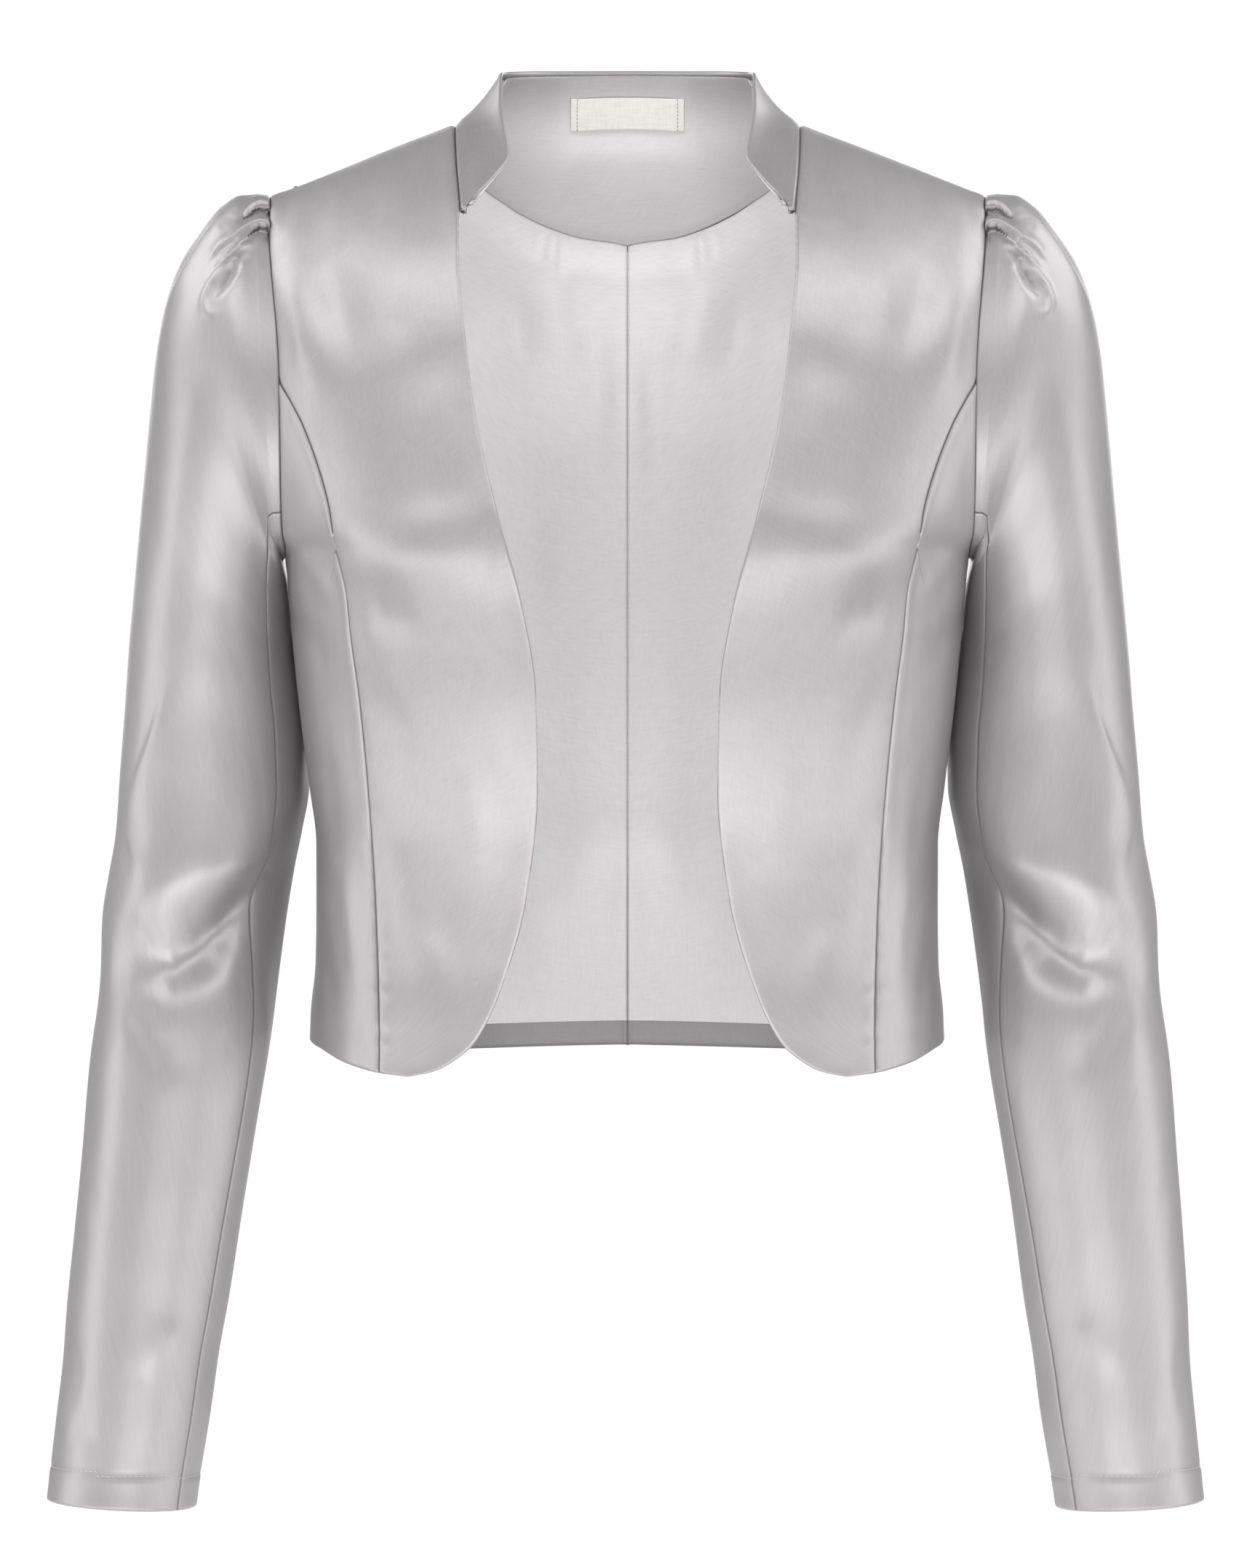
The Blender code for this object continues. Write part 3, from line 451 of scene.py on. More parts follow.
def body_points(side, places):
    """Points of the body at places: a turn from the centre front, 0, to the centre back, and a height."""
    turn, z = places[..., 0], places[..., 1]
    sine = np.maximum(np.sin(np.radians(turn)), 0.0)
    cosine = np.cos(np.radians(turn))
    cosine = np.where(np.abs(cosine) < 1e-9, 0.0, cosine)
    x = read(BODY, "half_width", z) * sine ** (2.0 / SECTION_POWER)
    y = body_depth(x, z, cosine > 0.0) * body_round(x, z)
    return np.stack([side * x, np.where(cosine > 0.0, -y, y), z], axis=-1)


def body_round(x, z):
    """Share of the depth that a level section keeps at a distance from the centre."""
    f = smooth_step((x - FORM_START) / (FORM_END - FORM_START))
    at_side = 1.0 - (x / read(BODY, "half_width", z)) ** SECTION_POWER
    at_front = 1.0 - (x / read(BODY, "form_width", z)) ** SECTION_POWER
    at_side, at_front = (np.maximum(share, 0.0) ** (1.0 / SECTION_POWER) for share in (at_side, at_front))
    return at_front + (at_side - at_front) * f


def turn_at(x, z, front):
    """Turn at which the body has this distance from the centre."""
    share = np.minimum(x / read(BODY, "half_width", z), 1.0)
    turn = np.degrees(np.arcsin(share ** (SECTION_POWER / 2.0)))
    return np.where(front, turn, 180.0 - turn)


def places_above(path, front):
    """Places of the body's points that lie at x and y seen from above."""
    x, y = path[:, 0], path[:, 1]
    low, high = np.zeros(len(x)), np.full(len(x), 0.2)
    for _ in range(40):
        drop = (low + high) / 2.0
        z = shoulder_height(x) - drop
        short = body_depth(x, z, front) * body_round(x, z) < np.abs(y)
        low, high = np.where(short, drop, low), np.where(short, high, drop)
    z = shoulder_height(x) - low
    return np.stack([turn_at(x, z, front), z], axis=-1)


def places_ahead(path):
    """Places of the body's points that lie at x and z seen from the front."""
    return np.stack([turn_at(path[:, 0], path[:, 1], True), path[:, 1]], axis=-1)


def shoulder_seam(start, end, shares_along, front):
    """Places along the shoulder line."""
    x = start + (end - start) * shares_along
    z = shoulder_height(x)
    return np.stack([turn_at(x, z, front), z], axis=-1)


def armhole_places(angle, front):
    """Places on the armhole at angles from the shoulder tip, 0, to the underarm, 180."""
    top = shoulder_height(TIP_X)
    z = top + (PIT_Z - top) * (1.0 - np.cos(np.radians(angle))) / 2.0
    x = np.minimum(read(ARMHOLE, "across", z), read(BODY, "half_width", z))
    x = np.where(angle <= 0.0, TIP_X, x)
    turn = turn_at(x, z, front)
    under = angle >= 180.0
    return np.stack([np.where(under, SIDE, turn), np.where(under, PIT_Z, z)], axis=-1)


def side_seam(shares_along):
    """Places down the side."""
    z = PIT_Z + (read(HEM, "height", SIDE) - PIT_Z) * shares_along
    return np.stack([np.full_like(z, SIDE), z], axis=-1)


def hem_line(start, end, shares_along):
    """Places along the hem."""
    turn = start + (end - start) * shares_along
    return np.stack([turn, read(HEM, "height", turn)], axis=-1)


def centre_back(start, end, shares_along):
    """Places down the centre back."""
    z = start + (end - start) * shares_along
    return np.stack([np.full_like(z, CENTRE_BACK), z], axis=-1)


def patch(top, bottom, left, right, across, down):
    """Grid of places that fills the space between four edges."""
    u = across[None, :, None]
    v = down[:, None, None]
    ruled = (1 - v) * top[None] + v * bottom[None] + (1 - u) * left[:, None] + u * right[:, None]
    upper = (1 - u) * top[0] + u * top[-1]
    lower = (1 - u) * bottom[0] + u * bottom[-1]
    return ruled - (1 - v) * upper - v * lower


def joined(*parts):
    """Edges that follow one another, as one."""
    return np.concatenate([parts[0]] + [part[1:] for part in parts[1:]])


def even(shares_along):
    """Place of each of a row's points, as a share of the row."""
    return np.linspace(0.0, 1.0, len(shares_along))


def front_places():
    """Front panel, from the neck seam and the front edge outwards, and how far each row is sewn there."""
    across = shares(66, 0.088, start=True, end=True)
    neck = places_above(along(NECK_FRONT, shares(56, 0.085, start=True)), True)
    edge = places_ahead(along(FRONT_EDGE, shares(234, 0.42, end=True)))
    inner = joined(neck, edge)
    armhole = armhole_places(PRINCESS_TURN * shares(64, 0.11, start=True), True)
    princess = places_ahead(along(PRINCESS, shares(226, 0.33, end=True)))
    outer = joined(armhole, princess)
    top = shoulder_seam(NECK_X, TIP_X, across, True)
    bottom = inner[-1] + (outer[-1] - inner[-1]) * across[:, None]
    places = patch(top, bottom, inner, outer, across, even(inner))
    return places, np.where(np.arange(len(inner)) < len(neck), 1.0, 0.0)[:, None]


def side_places():
    """Side front panel, from the princess seam to the side seam."""
    across = shares(50, 0.08, start=True, end=True)
    down = shares(150, 0.25, start=True, end=True)
    princess = places_ahead(along(PRINCESS, down))
    top = armhole_places(PRINCESS_TURN + (180.0 - PRINCESS_TURN) * across, True)
    bottom = hem_line(princess[-1, 0], SIDE, across)
    return patch(top, bottom, princess, side_seam(down), across, down)


def back_places():
    """Back panel, from the neck and the shoulder seam to the hem."""
    across = shares(88, 0.16, start=True, end=True)
    neck = places_above(along(NECK_BACK, 1.0 - across), False)
    shoulder = shoulder_seam(NECK_X, TIP_X, shares(44, 0.097, start=True), False)
    armhole = armhole_places(180.0 * np.linspace(0.0, 1.0, 91), False)
    side = side_seam(shares(116, 0.235, end=True))
    outer = joined(shoulder, armhole, side)
    down = shares(len(outer) - 1, 0.44, start=True, end=True)
    middle = centre_back(neck[-1, 1], read(HEM, "height", CENTRE_BACK), down)
    bottom = hem_line(SIDE, CENTRE_BACK, across)
    return patch(neck, bottom, outer, middle, across, even(outer))


def lining_places():
    """Lining of the back, from the facing to the strip of satin at the hem."""
    across = shares(88, 0.16, start=True, end=True)
    edge = places_above(along(FACING_EDGE, 1.0 - across), False)
    shoulder = shoulder_seam(FACING_EDGE[-1][0], TIP_X, shares(30, 0.085, start=True), False)
    armhole = armhole_places(180.0 * np.linspace(0.0, 1.0, 91), False)
    end = read(HEM, "height", SIDE) + LINING_HEM
    z = PIT_Z + (end - PIT_Z) * shares(120, 0.22, end=True)
    side = np.stack([np.full_like(z, SIDE), z], axis=-1)
    outer = joined(shoulder, armhole, side)
    down = shares(len(outer) - 1, 0.37, start=True, end=True)
    bottom = hem_line(SIDE, CENTRE_BACK, across) + np.array([0.0, LINING_HEM])
    middle = centre_back(edge[-1, 1], bottom[-1, 1], down)
    return patch(edge, bottom, outer, middle, across, even(outer))


def collar_points(bottom, top, count):
    """Rows of the collar's left half, from the top down, between two shares of its height."""
    back, front, end = shares(84, 0.11), shares(26, 0.04), shares(26, 0.03, end=True)
    foot = places_above(along(NECK_BACK, back), False)
    foot_front = places_above(along(NECK_FRONT, shares(52, 0.08, end=True)), True)
    lower = body_points(1, joined(foot, foot_front))
    upper = joined(along(COLLAR_TOP, back), along(COLLAR_FRONT, front), along(COLLAR_END, end))
    f = (top + (bottom - top) * shares(count, 0.035, start=True, end=True))[:, None, None]
    # the top edge turns its corners in a small round, and the sides are a little hollow
    for _ in range(CORNER_ROUNDS):
        upper[1:-1] += (upper[:-2] + upper[2:] - 2.0 * upper[1:-1]) / 4.0
    # and its tips run out at the front corners
    to_tip = np.append(np.linalg.norm(np.diff(upper, axis=0), axis=1)[::-1].cumsum()[::-1], 0.0)
    upper += (lower - upper) * (TIP_TAPER * smooth_step(1.0 - to_tip / TIP_REACH))[:, None]
    sag = COLLAR_SAG * np.sin(np.pi * f) * smooth_step((lower[:, 0] - 0.03) / 0.05)[None, :, None]
    return lower[None] + (upper - lower)[None] * f - sag * np.array([1.0, 0.0, 0.5])


def sleeve_points(side, ring, angle):
    """Points of the sleeve on rings, at angles from its outer side, the front positive."""
    ring = ring[:, None]
    angle = angle[None, :]
    front = (angle >= 0.0) & (angle <= 180.0)
    turn = np.abs(angle)
    seam = body_points(1, armhole_places(turn, front))
    wide = np.array([80.0, 92.0, 104.0, 116.0])
    widest = np.where(
        front,
        np.abs(body_points(1, armhole_places(wide, True))[:, 1]).max(),
        np.abs(body_points(1, armhole_places(wide, False))[:, 1]).max(),
    )
    station = np.maximum(ring, 1.0)
    outer = np.stack([read(SLEEVE, "out_x", station), read(SLEEVE, "out_z", station)], axis=-1)
    inner = np.stack([read(SLEEVE, "in_x", station), read(SLEEVE, "in_z", station)], axis=-1)
    across = (outer - inner) / np.linalg.norm(outer - inner, axis=-1, keepdims=True)
    outer = outer - across * SHELL_WALL
    inner = inner + across * SHELL_WALL
    roundness = read(SLEEVE, "round", station)
    shape = (1 - roundness) * np.abs(seam[..., 1]) / widest + roundness * np.sin(np.radians(turn))
    reach = (read(SLEEVE, "depth", station) - SHELL_WALL) * shape * np.where(front, -1.0, 1.0)
    share = ((1.0 - np.cos(np.radians(turn))) / 2.0)[..., None]
    flat = outer + (inner - outer) * share - across * (read(SLEEVE, "lean", station) * reach)[..., None]
    y = read(SLEEVE, "middle", station) + reach
    points = np.stack([flat[..., 0], y, flat[..., 1]], axis=-1)
    near = np.clip(ring, 0.0, 1.0)[..., None]
    near = near * (2.0 - near)
    points = seam * (1.0 - near) + points * near
    return points * np.array([side, 1.0, 1.0])


def grid_normals(points):
    """Unit normals of a grid."""
    normals = np.cross(np.gradient(points, axis=0), np.gradient(points, axis=1))
    return normals / np.maximum(np.linalg.norm(normals, axis=-1, keepdims=True), 1e-12)


def edge_distances(points):
    """Distance of each point of a grid from its top, bottom, left and right edge."""
    across = np.linalg.norm(np.diff(points, axis=1), axis=-1)
    left = np.concatenate([np.zeros((len(points), 1)), np.cumsum(across, axis=1)], axis=1)
    down = np.linalg.norm(np.diff(points, axis=0), axis=-1)
    top = np.concatenate([np.zeros((1, points.shape[1])), np.cumsum(down, axis=0)], axis=0)
    return top, top[-1:] - top, left, left[:, -1:] - left


def smooth_step(f):
    """Soft rise from 0 to 1."""
    f = np.clip(f, 0.0, 1.0)
    return f * f * (3.0 - 2.0 * f)


def bell(distance, reach):
    """Soft hump, 1 in its middle."""
    return np.exp(-((distance / reach) ** 2))


def shown(points, before):
    """Where points show from the camera, or from behind, in metres on the plane through the origin."""
    if not before:
        return np.stack([np.abs(points[..., 0]), points[..., 2]], axis=-1)
    scale = CAMERA_DISTANCE / (CAMERA_DISTANCE + points[..., 1])
    height = (points[..., 2] - CAMERA_HEIGHT) * scale + CAMERA_HEIGHT
    return np.stack([np.abs(points[..., 0]) * scale, height], axis=-1)


def laid_on_sleeve(points, normals, before):
    """Way to lay a path on the front or the back of a sleeve."""
    flat = points.reshape(-1, 3)
    facing = np.nonzero(normals.reshape(-1, 3)[:, 1] * (-1.0 if before else 1.0) > 0.05)[0]
    view = shown(flat, before)[facing]

    def lay(path):
        line = flat[facing[np.linalg.norm(view[:, None] - path[None], axis=-1).argmin(axis=0)]]
        return np.concatenate([line[:1], (line[:-2] + 2 * line[1:-1] + line[2:]) / 4.0, line[-1:]])
    return lay


def laid_on_body(side, front, from_camera=True):
    """Way to lay a path, as it shows from the camera or from behind, on the body's front or back."""
    def lay(path):
        x, z = path[:, 0], path[:, 1]
        for _ in range(6):
            y = body_depth(x, z, front) * body_round(x, z) * (-1.0 if front else 1.0)
            scale = (CAMERA_DISTANCE + y) / CAMERA_DISTANCE if from_camera else 1.0
            x = path[:, 0] * scale
            z = (path[:, 1] - CAMERA_HEIGHT) * scale + CAMERA_HEIGHT
        return np.stack([side * x, y, z], axis=-1)
    return lay


def crease_heights(points, creases, lay, before=True):
    """Height of the creases at each point of a grid, laid on its front or on its back."""
    flat = points.reshape(-1, 3)
    view = shown(flat, before)
    height = np.zeros(len(flat))
    for crease in creases:
        path = along(np.array(crease.path) / 1000.0, np.linspace(0.0, 1.0, 4 * len(crease.path)))
        line = lay(path)
        run = line[1:] - line[:-1]
        length = np.maximum(np.linalg.norm(run, axis=-1), 1e-6)
        reach = max(crease.above, crease.below) / 1000.0
        low, high = line.min(axis=0) - 3 * reach, line.max(axis=0) + 3 * reach
        near = np.nonzero(((flat > low) & (flat < high)).all(axis=1))[0]
        offset = flat[near][:, None] - line[None, :-1]
        share = np.clip((offset * run).sum(-1) / length**2, 0.0, 1.0)
        away = np.linalg.norm(offset - run * share[..., None], axis=-1)
        best = away.argmin(axis=1)
        here = np.arange(len(near))
        steps = np.concatenate([[0.0], np.cumsum(length)])
        place = (steps[best] + share[here, best] * length[best]) / steps[-1]
        flat_run = path[1:] - path[:-1]
        to_point = view[near] - path[:-1][best]
        beside = flat_run[best, 0] * to_point[:, 1] - flat_run[best, 1] * to_point[:, 0]
        beside /= np.maximum(np.linalg.norm(flat_run[best], axis=-1) * away[here, best], 1e-9)
        # beside is 1 straight above the path and -1 straight below it
        upper_side = smooth_step(0.5 + 0.75 * beside)
        width = (crease.below + (crease.above - crease.below) * upper_side) / 1000.0
        fade = (crease.start + (1 - crease.start) * smooth_step(place / 0.35)) * (
            crease.end + (1 - crease.end) * smooth_step((1.0 - place) / 0.45))
        height[near] += crease.rise / 1000.0 * fade * bell(away[here, best], width)
    return height.reshape(points.shape[:2])


def mouth_painted_shade(points, lay):
    """Painted shade in the pleats' mouths: how deep in a pleat's mouth each point of a grid lies."""
    flat = points.reshape(-1, 3)
    depth = np.zeros(len(flat))
    places = np.linspace(0.0, 1.0, 60)
    for mouth in MOUTHS_PAINTED_SHADE:
        line = lay(along(np.array(mouth.path) / 1000.0, places))
        away = np.linalg.norm(flat[:, None] - line[None], axis=-1)
        # a mouth narrows over the last part of its path
        narrow = 1.0 - 0.75 * smooth_step((places[away.argmin(axis=1)] - 0.55) / 0.45)
        depth = np.maximum(depth, mouth.strength * bell(away.min(axis=1), mouth.wide / 1000.0 * narrow))
    return depth.reshape(points.shape[:2])


def soft_dents(points, kind):
    """Low uneven dents, longer down the cloth than across it."""
    seed, size, rise = DENTS[kind]
    chance = np.random.default_rng(seed)
    total = np.zeros(points.shape[:2])
    for _ in range(9):
        turn = chance.uniform(0.0, 2.0 * math.pi)
        wave = np.array([math.cos(turn), math.sin(turn), chance.uniform(-0.5, 0.5)])
        wave *= 2.0 * math.pi / (size * chance.uniform(0.7, 1.6))
        total += np.sin(points @ wave + chance.uniform(0.0, 2.0 * math.pi))
    return total * rise / 3.0


def turned(distance, amount=1.0):
    """Share of the cloth's thickness beside a turned edge, rounded to nothing at the edge itself."""
    share = np.clip(distance / EDGE_ROUND, 0.0, 1.0)
    rounded = np.sqrt(np.maximum(1.0 - (1.0 - share) ** 2, 0.0))
    swell = 1.0 + EDGE_SWELL / SHELL_WALL * 2.0 * bell(distance, EDGE_REACH)
    return 1.0 + (rounded * swell - 1.0) * amount


def sewn_groove(distance, amount=1.0):
    """Height beside a seam: the groove, and the turned allowances along it."""
    allowance = ALLOWANCE_RISE * bell(distance - ALLOWANCE_REACH, ALLOWANCE_REACH)
    return (allowance - SEAM_DEPTH * bell(distance, SEAM_REACH)) * amount


def seam_mark(distance, amount=1.0):
    """How strongly a seam's own line shows."""
    return bell(distance, SEAM_REACH * 0.8) * amount


def shell(name, node, coat, base, normals, height, share, mark=0.0, wall=SHELL_WALL,
          lift=0.0, reverse=0.0):
    """Closed thin shell of one cut piece, its inner layer on every second line of the outer one."""
    middle = lift + wall / 2.0
    outer = base + normals * (height + middle + wall / 2.0 * share)[..., None]
    inner = (base + normals * (height + middle - wall / 2.0 * share)[..., None])[::2, ::2]
    index = np.arange(outer[..., 0].size).reshape(outer.shape[:2])
    index_in = index.size + np.arange(inner[..., 0].size).reshape(inner.shape[:2])

    def quads(grid):
        return np.stack([grid[:-1, :-1], grid[1:, :-1], grid[1:, 1:], grid[:-1, 1:]], axis=-1).reshape(-1, 4)

    def border(grid):
        return np.concatenate([grid[0, :-1], grid[:-1, -1], grid[-1, :0:-1], grid[:0:-1, 0]])

    rim, rim_in = border(index), border(index_in)
    a, b, c = rim[::2], rim[1::2], np.roll(rim[::2], -1)
    p, q = rim_in, np.roll(rim_in, -1)
    edge = np.stack([p, a, b, p, b, q, q, b, c], axis=-1).reshape(-1, 3)
    faces = quads(index).tolist() + quads(index_in)[:, [0, 3, 2, 1]].tolist() + edge.tolist()
    i, j = index.shape[0] // 2, index.shape[1] // 2
    turn = np.cross(outer[i + 1, j] - outer[i, j], outer[i, j + 1] - outer[i, j])
    if turn @ normals[i, j] < 0.0:
        faces = [face[::-1] for face in faces]
    points = np.concatenate([outer.reshape(-1, 3), inner.reshape(-1, 3)])
    mesh = bpy.data.meshes.new(name)
    mesh.from_pydata(points.tolist(), [], faces)
    tops, _, lefts, _ = edge_distances(base)
    cloth = np.stack([lefts, tops], axis=-1)
    flat = np.concatenate([cloth.reshape(-1, 2), cloth[::2, ::2].reshape(-1, 2)])
    corners = np.empty(len(mesh.loops), int)
    mesh.loops.foreach_get("vertex_index", corners)
    mesh.uv_layers.new(name="cloth").uv.foreach_set("vector", flat[corners].ravel())
    # the seam attribute: dark seam lines and painted shade on the outer layer, the darker reverse side on the
    # inner one
    marks = np.concatenate([np.broadcast_to(mark, index.shape).ravel(), np.full(index_in.size, reverse)])
    mesh.attributes.new("seam", "FLOAT", "POINT").data.foreach_set("value", marks)
    mesh.shade_smooth()
    mesh.materials.append(coat)
    piece = new_object(name, mesh)
    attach(piece, "root")
    if node:
        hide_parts(node)
    return outer


def new_object(name, data):
    """A new object in the scene."""
    made = bpy.data.objects.new(name, data)
    bpy.context.scene.collection.objects.link(made)
    return made


def settle(obj, name):
    """Plain mesh object from what an object's modifiers make of it."""
    bpy.context.view_layer.update()
    graph = bpy.context.evaluated_depsgraph_get()
    mesh = bpy.data.meshes.new_from_object(obj.evaluated_get(graph))
    mesh.name = name
    old = obj.data
    obj.modifiers.clear()
    obj.data = mesh
    bpy.data.meshes.remove(old)


def feed(tree, node, inputs):
    """Give a node its inputs, as values or as the outputs of other nodes."""
    for name, value in inputs.items():
        if isinstance(value, bpy.types.NodeSocket):
            tree.links.new(value, node.inputs[name])
        else:
            node.inputs[name].default_value = value


def new_node(tree, kind, inputs=None, **settings):
    """A new node with its settings and inputs, as its outputs."""
    node = tree.nodes.new(kind)
    for name, value in settings.items():
        setattr(node, name, value)
    feed(tree, node, inputs or {})
    return node.outputs


def stitch_tree(name, thread):
    """Geometry Nodes that lay equal stitches of one thread along a path."""
    tree = bpy.data.node_groups.new(name, "GeometryNodeTree")
    new_socket = tree.interface.new_socket
    new_socket("Path", in_out="INPUT", socket_type="NodeSocketGeometry")
    for label, value in CUFF_THREAD.items():
        new_socket(label, in_out="INPUT", socket_type="NodeSocketFloat").default_value = value
    new_socket("Stitches", in_out="OUTPUT", socket_type="NodeSocketGeometry")
    given = new_node(tree, "NodeGroupInput")
    curve = new_node(tree, "GeometryNodeMeshToCurve", {"Mesh": given["Path"]})
    points = new_node(
        tree, "GeometryNodeCurveToPoints", {"Curve": curve["Curve"], "Length": given["Pitch"]}, mode="LENGTH")
    shape = {"Vertices": 6, "Radius": 1.0, "Depth": 2.0}
    stitch = new_node(tree, "GeometryNodeMeshCylinder", shape, fill_type="TRIANGLE_FAN")
    radius = new_node(tree, "ShaderNodeMath", {0: given["Thickness"], 1: 0.5}, operation="MULTIPLY")
    half = new_node(tree, "ShaderNodeMath", {0: given["Length"], 1: 0.5}, operation="MULTIPLY")
    scale = new_node(tree, "ShaderNodeCombineXYZ", {"X": radius[0], "Y": radius[0], "Z": half[0]})
    placed = new_node(tree, "GeometryNodeInstanceOnPoints", {
        "Points": points["Points"], "Rotation": points["Rotation"], "Instance": stitch["Mesh"],
        "Scale": scale["Vector"]})
    real = new_node(tree, "GeometryNodeRealizeInstances", {"Geometry": placed["Instances"]})
    smooth = new_node(tree, "GeometryNodeSetShadeSmooth", {0: real["Geometry"]})
    coat = new_node(tree, "GeometryNodeSetMaterial", {"Geometry": smooth[0], "Material": thread})
    new_node(tree, "NodeGroupOutput", {"Stitches": coat["Geometry"]})
    return tree


def stitches(tree, piece_name, name, path, sizes):
    """Row of stitches along a path of points, sewn on a piece."""
    mesh = bpy.data.meshes.new(name)
    mesh.from_pydata(path.tolist(), [(k, k + 1) for k in range(len(path) - 1)], [])
    row = new_object(name, mesh)
    modifier = row.modifiers.new("stitches", "NODES")
    modifier.node_group = tree
    for item in tree.interface.items_tree:
        if item.item_type == "SOCKET" and item.in_out == "INPUT" and item.name in sizes:
            modifier[item.identifier] = sizes[item.name]
    settle(row, name)
    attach(row, "root")
    SEWN_ON.setdefault(piece_name, []).append(row)


def shader_of(name):
    """A new material, its nodes and its Principled shader."""
    made = bpy.data.materials.new(name)
    made.use_nodes = True
    return made, made.node_tree, made.node_tree.nodes["Principled BSDF"]


def colour_ramp(tree, source, low, high, start=0.0, end=1.0):
    """Colour from low to high as a value goes from start to end."""
    ramp = tree.nodes.new("ShaderNodeValToRGB")
    for element, place, colour in zip(ramp.color_ramp.elements, (start, end), (low, high)):
        element.position = place
        element.color = (*colour, 1.0)
    tree.links.new(source, ramp.inputs["Fac"])
    return ramp.outputs["Color"]


def cloth_coat(name, low, high, roughness, metallic, dent, sheen=0.10, grain=0.05, bump=0.25):
    """Woven cloth: soft changes of colour and gloss, fine threads in its own weave, darker seam lines and
    painted shade from the seam attribute.
    """
    made, tree, shader = shader_of(name)

    def noise(source, scale, detail, stretch):
        mapped = new_node(tree, "ShaderNodeMapping", {"Vector": source, "Scale": stretch})["Vector"]
        inputs = {"Vector": mapped, "Scale": scale, "Detail": detail}
        return new_node(tree, "ShaderNodeTexNoise", inputs)["Fac"]

    def ranged(value, ends):
        return new_node(tree, "ShaderNodeMapRange", {"Value": value, **ends})["Result"]

    weave = new_node(tree, "ShaderNodeUVMap", uv_map="cloth")["UV"]
    place = new_node(tree, "ShaderNodeTexCoord")["Object"]
    cloud = noise(place, 9.0, 3.0, (1.0, 1.0, 0.6))
    weft = noise(weave, 900.0, 2.0, (0.12, 1.0, 1.0))
    warp = noise(weave, 900.0, 2.0, (1.0, 0.12, 1.0))
    dents = noise(place, 26.0, 2.0, (1.0, 1.0, 0.45))

    threads = new_node(tree, "ShaderNodeMath", {0: weft, 1: warp}, operation="ADD")[0]
    tone = ranged(threads, {"From Min": 0.6, "From Max": 1.4, "To Min": 1.0 - grain, "To Max": 1.0 + grain})
    # the seam attribute darkens seam lines and painted shade alike
    seam = new_node(tree, "ShaderNodeAttribute", attribute_name="seam")["Fac"]
    line = ranged(seam, {"From Max": MARK_FULL, "To Min": 1.0, "To Max": MARK_TONE})
    both = new_node(tree, "ShaderNodeMath", {0: tone, 1: line}, operation="MULTIPLY")[0]
    ramp = colour_ramp(tree, cloud, low, high, 0.3, 0.72)
    colour = new_node(tree, "ShaderNodeVectorMath", {0: ramp, "Scale": both}, operation="SCALE")["Vector"]
    gloss = ranged(cloud, {"To Min": roughness - 0.05, "To Max": roughness + 0.05})
    normal = None
    for strength, distance, source in ((bump, 0.0001, threads), (1.0, dent, dents)):
        inputs = {"Strength": strength, "Distance": distance, "Height": source}
        if normal:
            inputs["Normal"] = normal
        normal = new_node(tree, "ShaderNodeBump", inputs)["Normal"]
    feed(tree, shader, {
        "Base Color": colour, "Roughness": gloss, "Normal": normal, "Metallic": metallic,
        "Sheen Weight": sheen, "Sheen Roughness": 0.35})
    made.diffuse_color = (*high, 1.0)
    return made


def thread_coat(name, colour):
    """Sewing thread, twisted and a little shiny."""
    made, tree, shader = shader_of(name)
    place = new_node(tree, "ShaderNodeTexCoord")["Object"]
    inputs = {"Vector": place, "Scale": 1500.0}
    twist = new_node(tree, "ShaderNodeTexWave", inputs, bands_direction="DIAGONAL")
    dark = [0.75 * share for share in colour]
    feed(tree, shader, {"Base Color": colour_ramp(tree, twist["Fac"], dark, colour), "Roughness": 0.55})
    made.diffuse_color = (*colour, 1.0)
    return made


def floor_coat():
    """Pale studio paper."""
    made, tree, shader = shader_of("studio_paper")
    place = new_node(tree, "ShaderNodeTexCoord")["Object"]
    grain = new_node(tree, "ShaderNodeTexNoise", {"Vector": place, "Scale": 60.0})["Fac"]
    feed(tree, shader, {
        "Base Color": colour_ramp(tree, grain, (0.93, 0.93, 0.93), (0.96, 0.96, 0.96)), "Roughness": 0.9,
        "Emission Color": WHITE, "Emission Strength": 0.15})
    return made


def set_camera():
    """Camera before the jacket, level with its middle."""
    data = bpy.data.cameras.new("camera")
    data.sensor_fit = "VERTICAL"
    data.sensor_height = SENSOR_HEIGHT
    data.lens = SENSOR_HEIGHT * CAMERA_DISTANCE / FRAME_HEIGHT
    data.clip_end = 50.0
    camera = new_object("camera", data)
    camera.location = (0.0, -CAMERA_DISTANCE, CAMERA_HEIGHT)
    camera.rotation_euler = (math.radians(90.0), 0.0, 0.0)
    bpy.context.scene.camera = camera


# Softboxes, in pairs on the left and the right: how far round from the front they stand, how far away,
# how high, how wide and tall, and how strong
SOFTBOXES = rows(
    "name turn away height wide tall power",
    ("low_front", 18.0, 3.3, -1.4, 1.7, 1.2, 19.0),
    ("low_side", 52.0, 3.3, -1.2, 1.7, 1.1, 19.0),
    ("high_front", 18.0, 2.7, 2.3, 1.7, 0.9, 15.0),
    ("high_side", 52.0, 2.7, 2.3, 1.7, 0.9, 25.0),
    ("middle", 10.0, 3.4, -1.0, 0.9, 0.9, 10.5),
    ("side", 82.0, 3.2, -0.2, 1.5, 1.6, 18.0),
    ("cap", 104.0, 2.6, 1.6, 1.3, 1.6, 27.0),
    ("back", 168.0, 3.3, 0.5, 1.6, 1.4, 22.0),
)


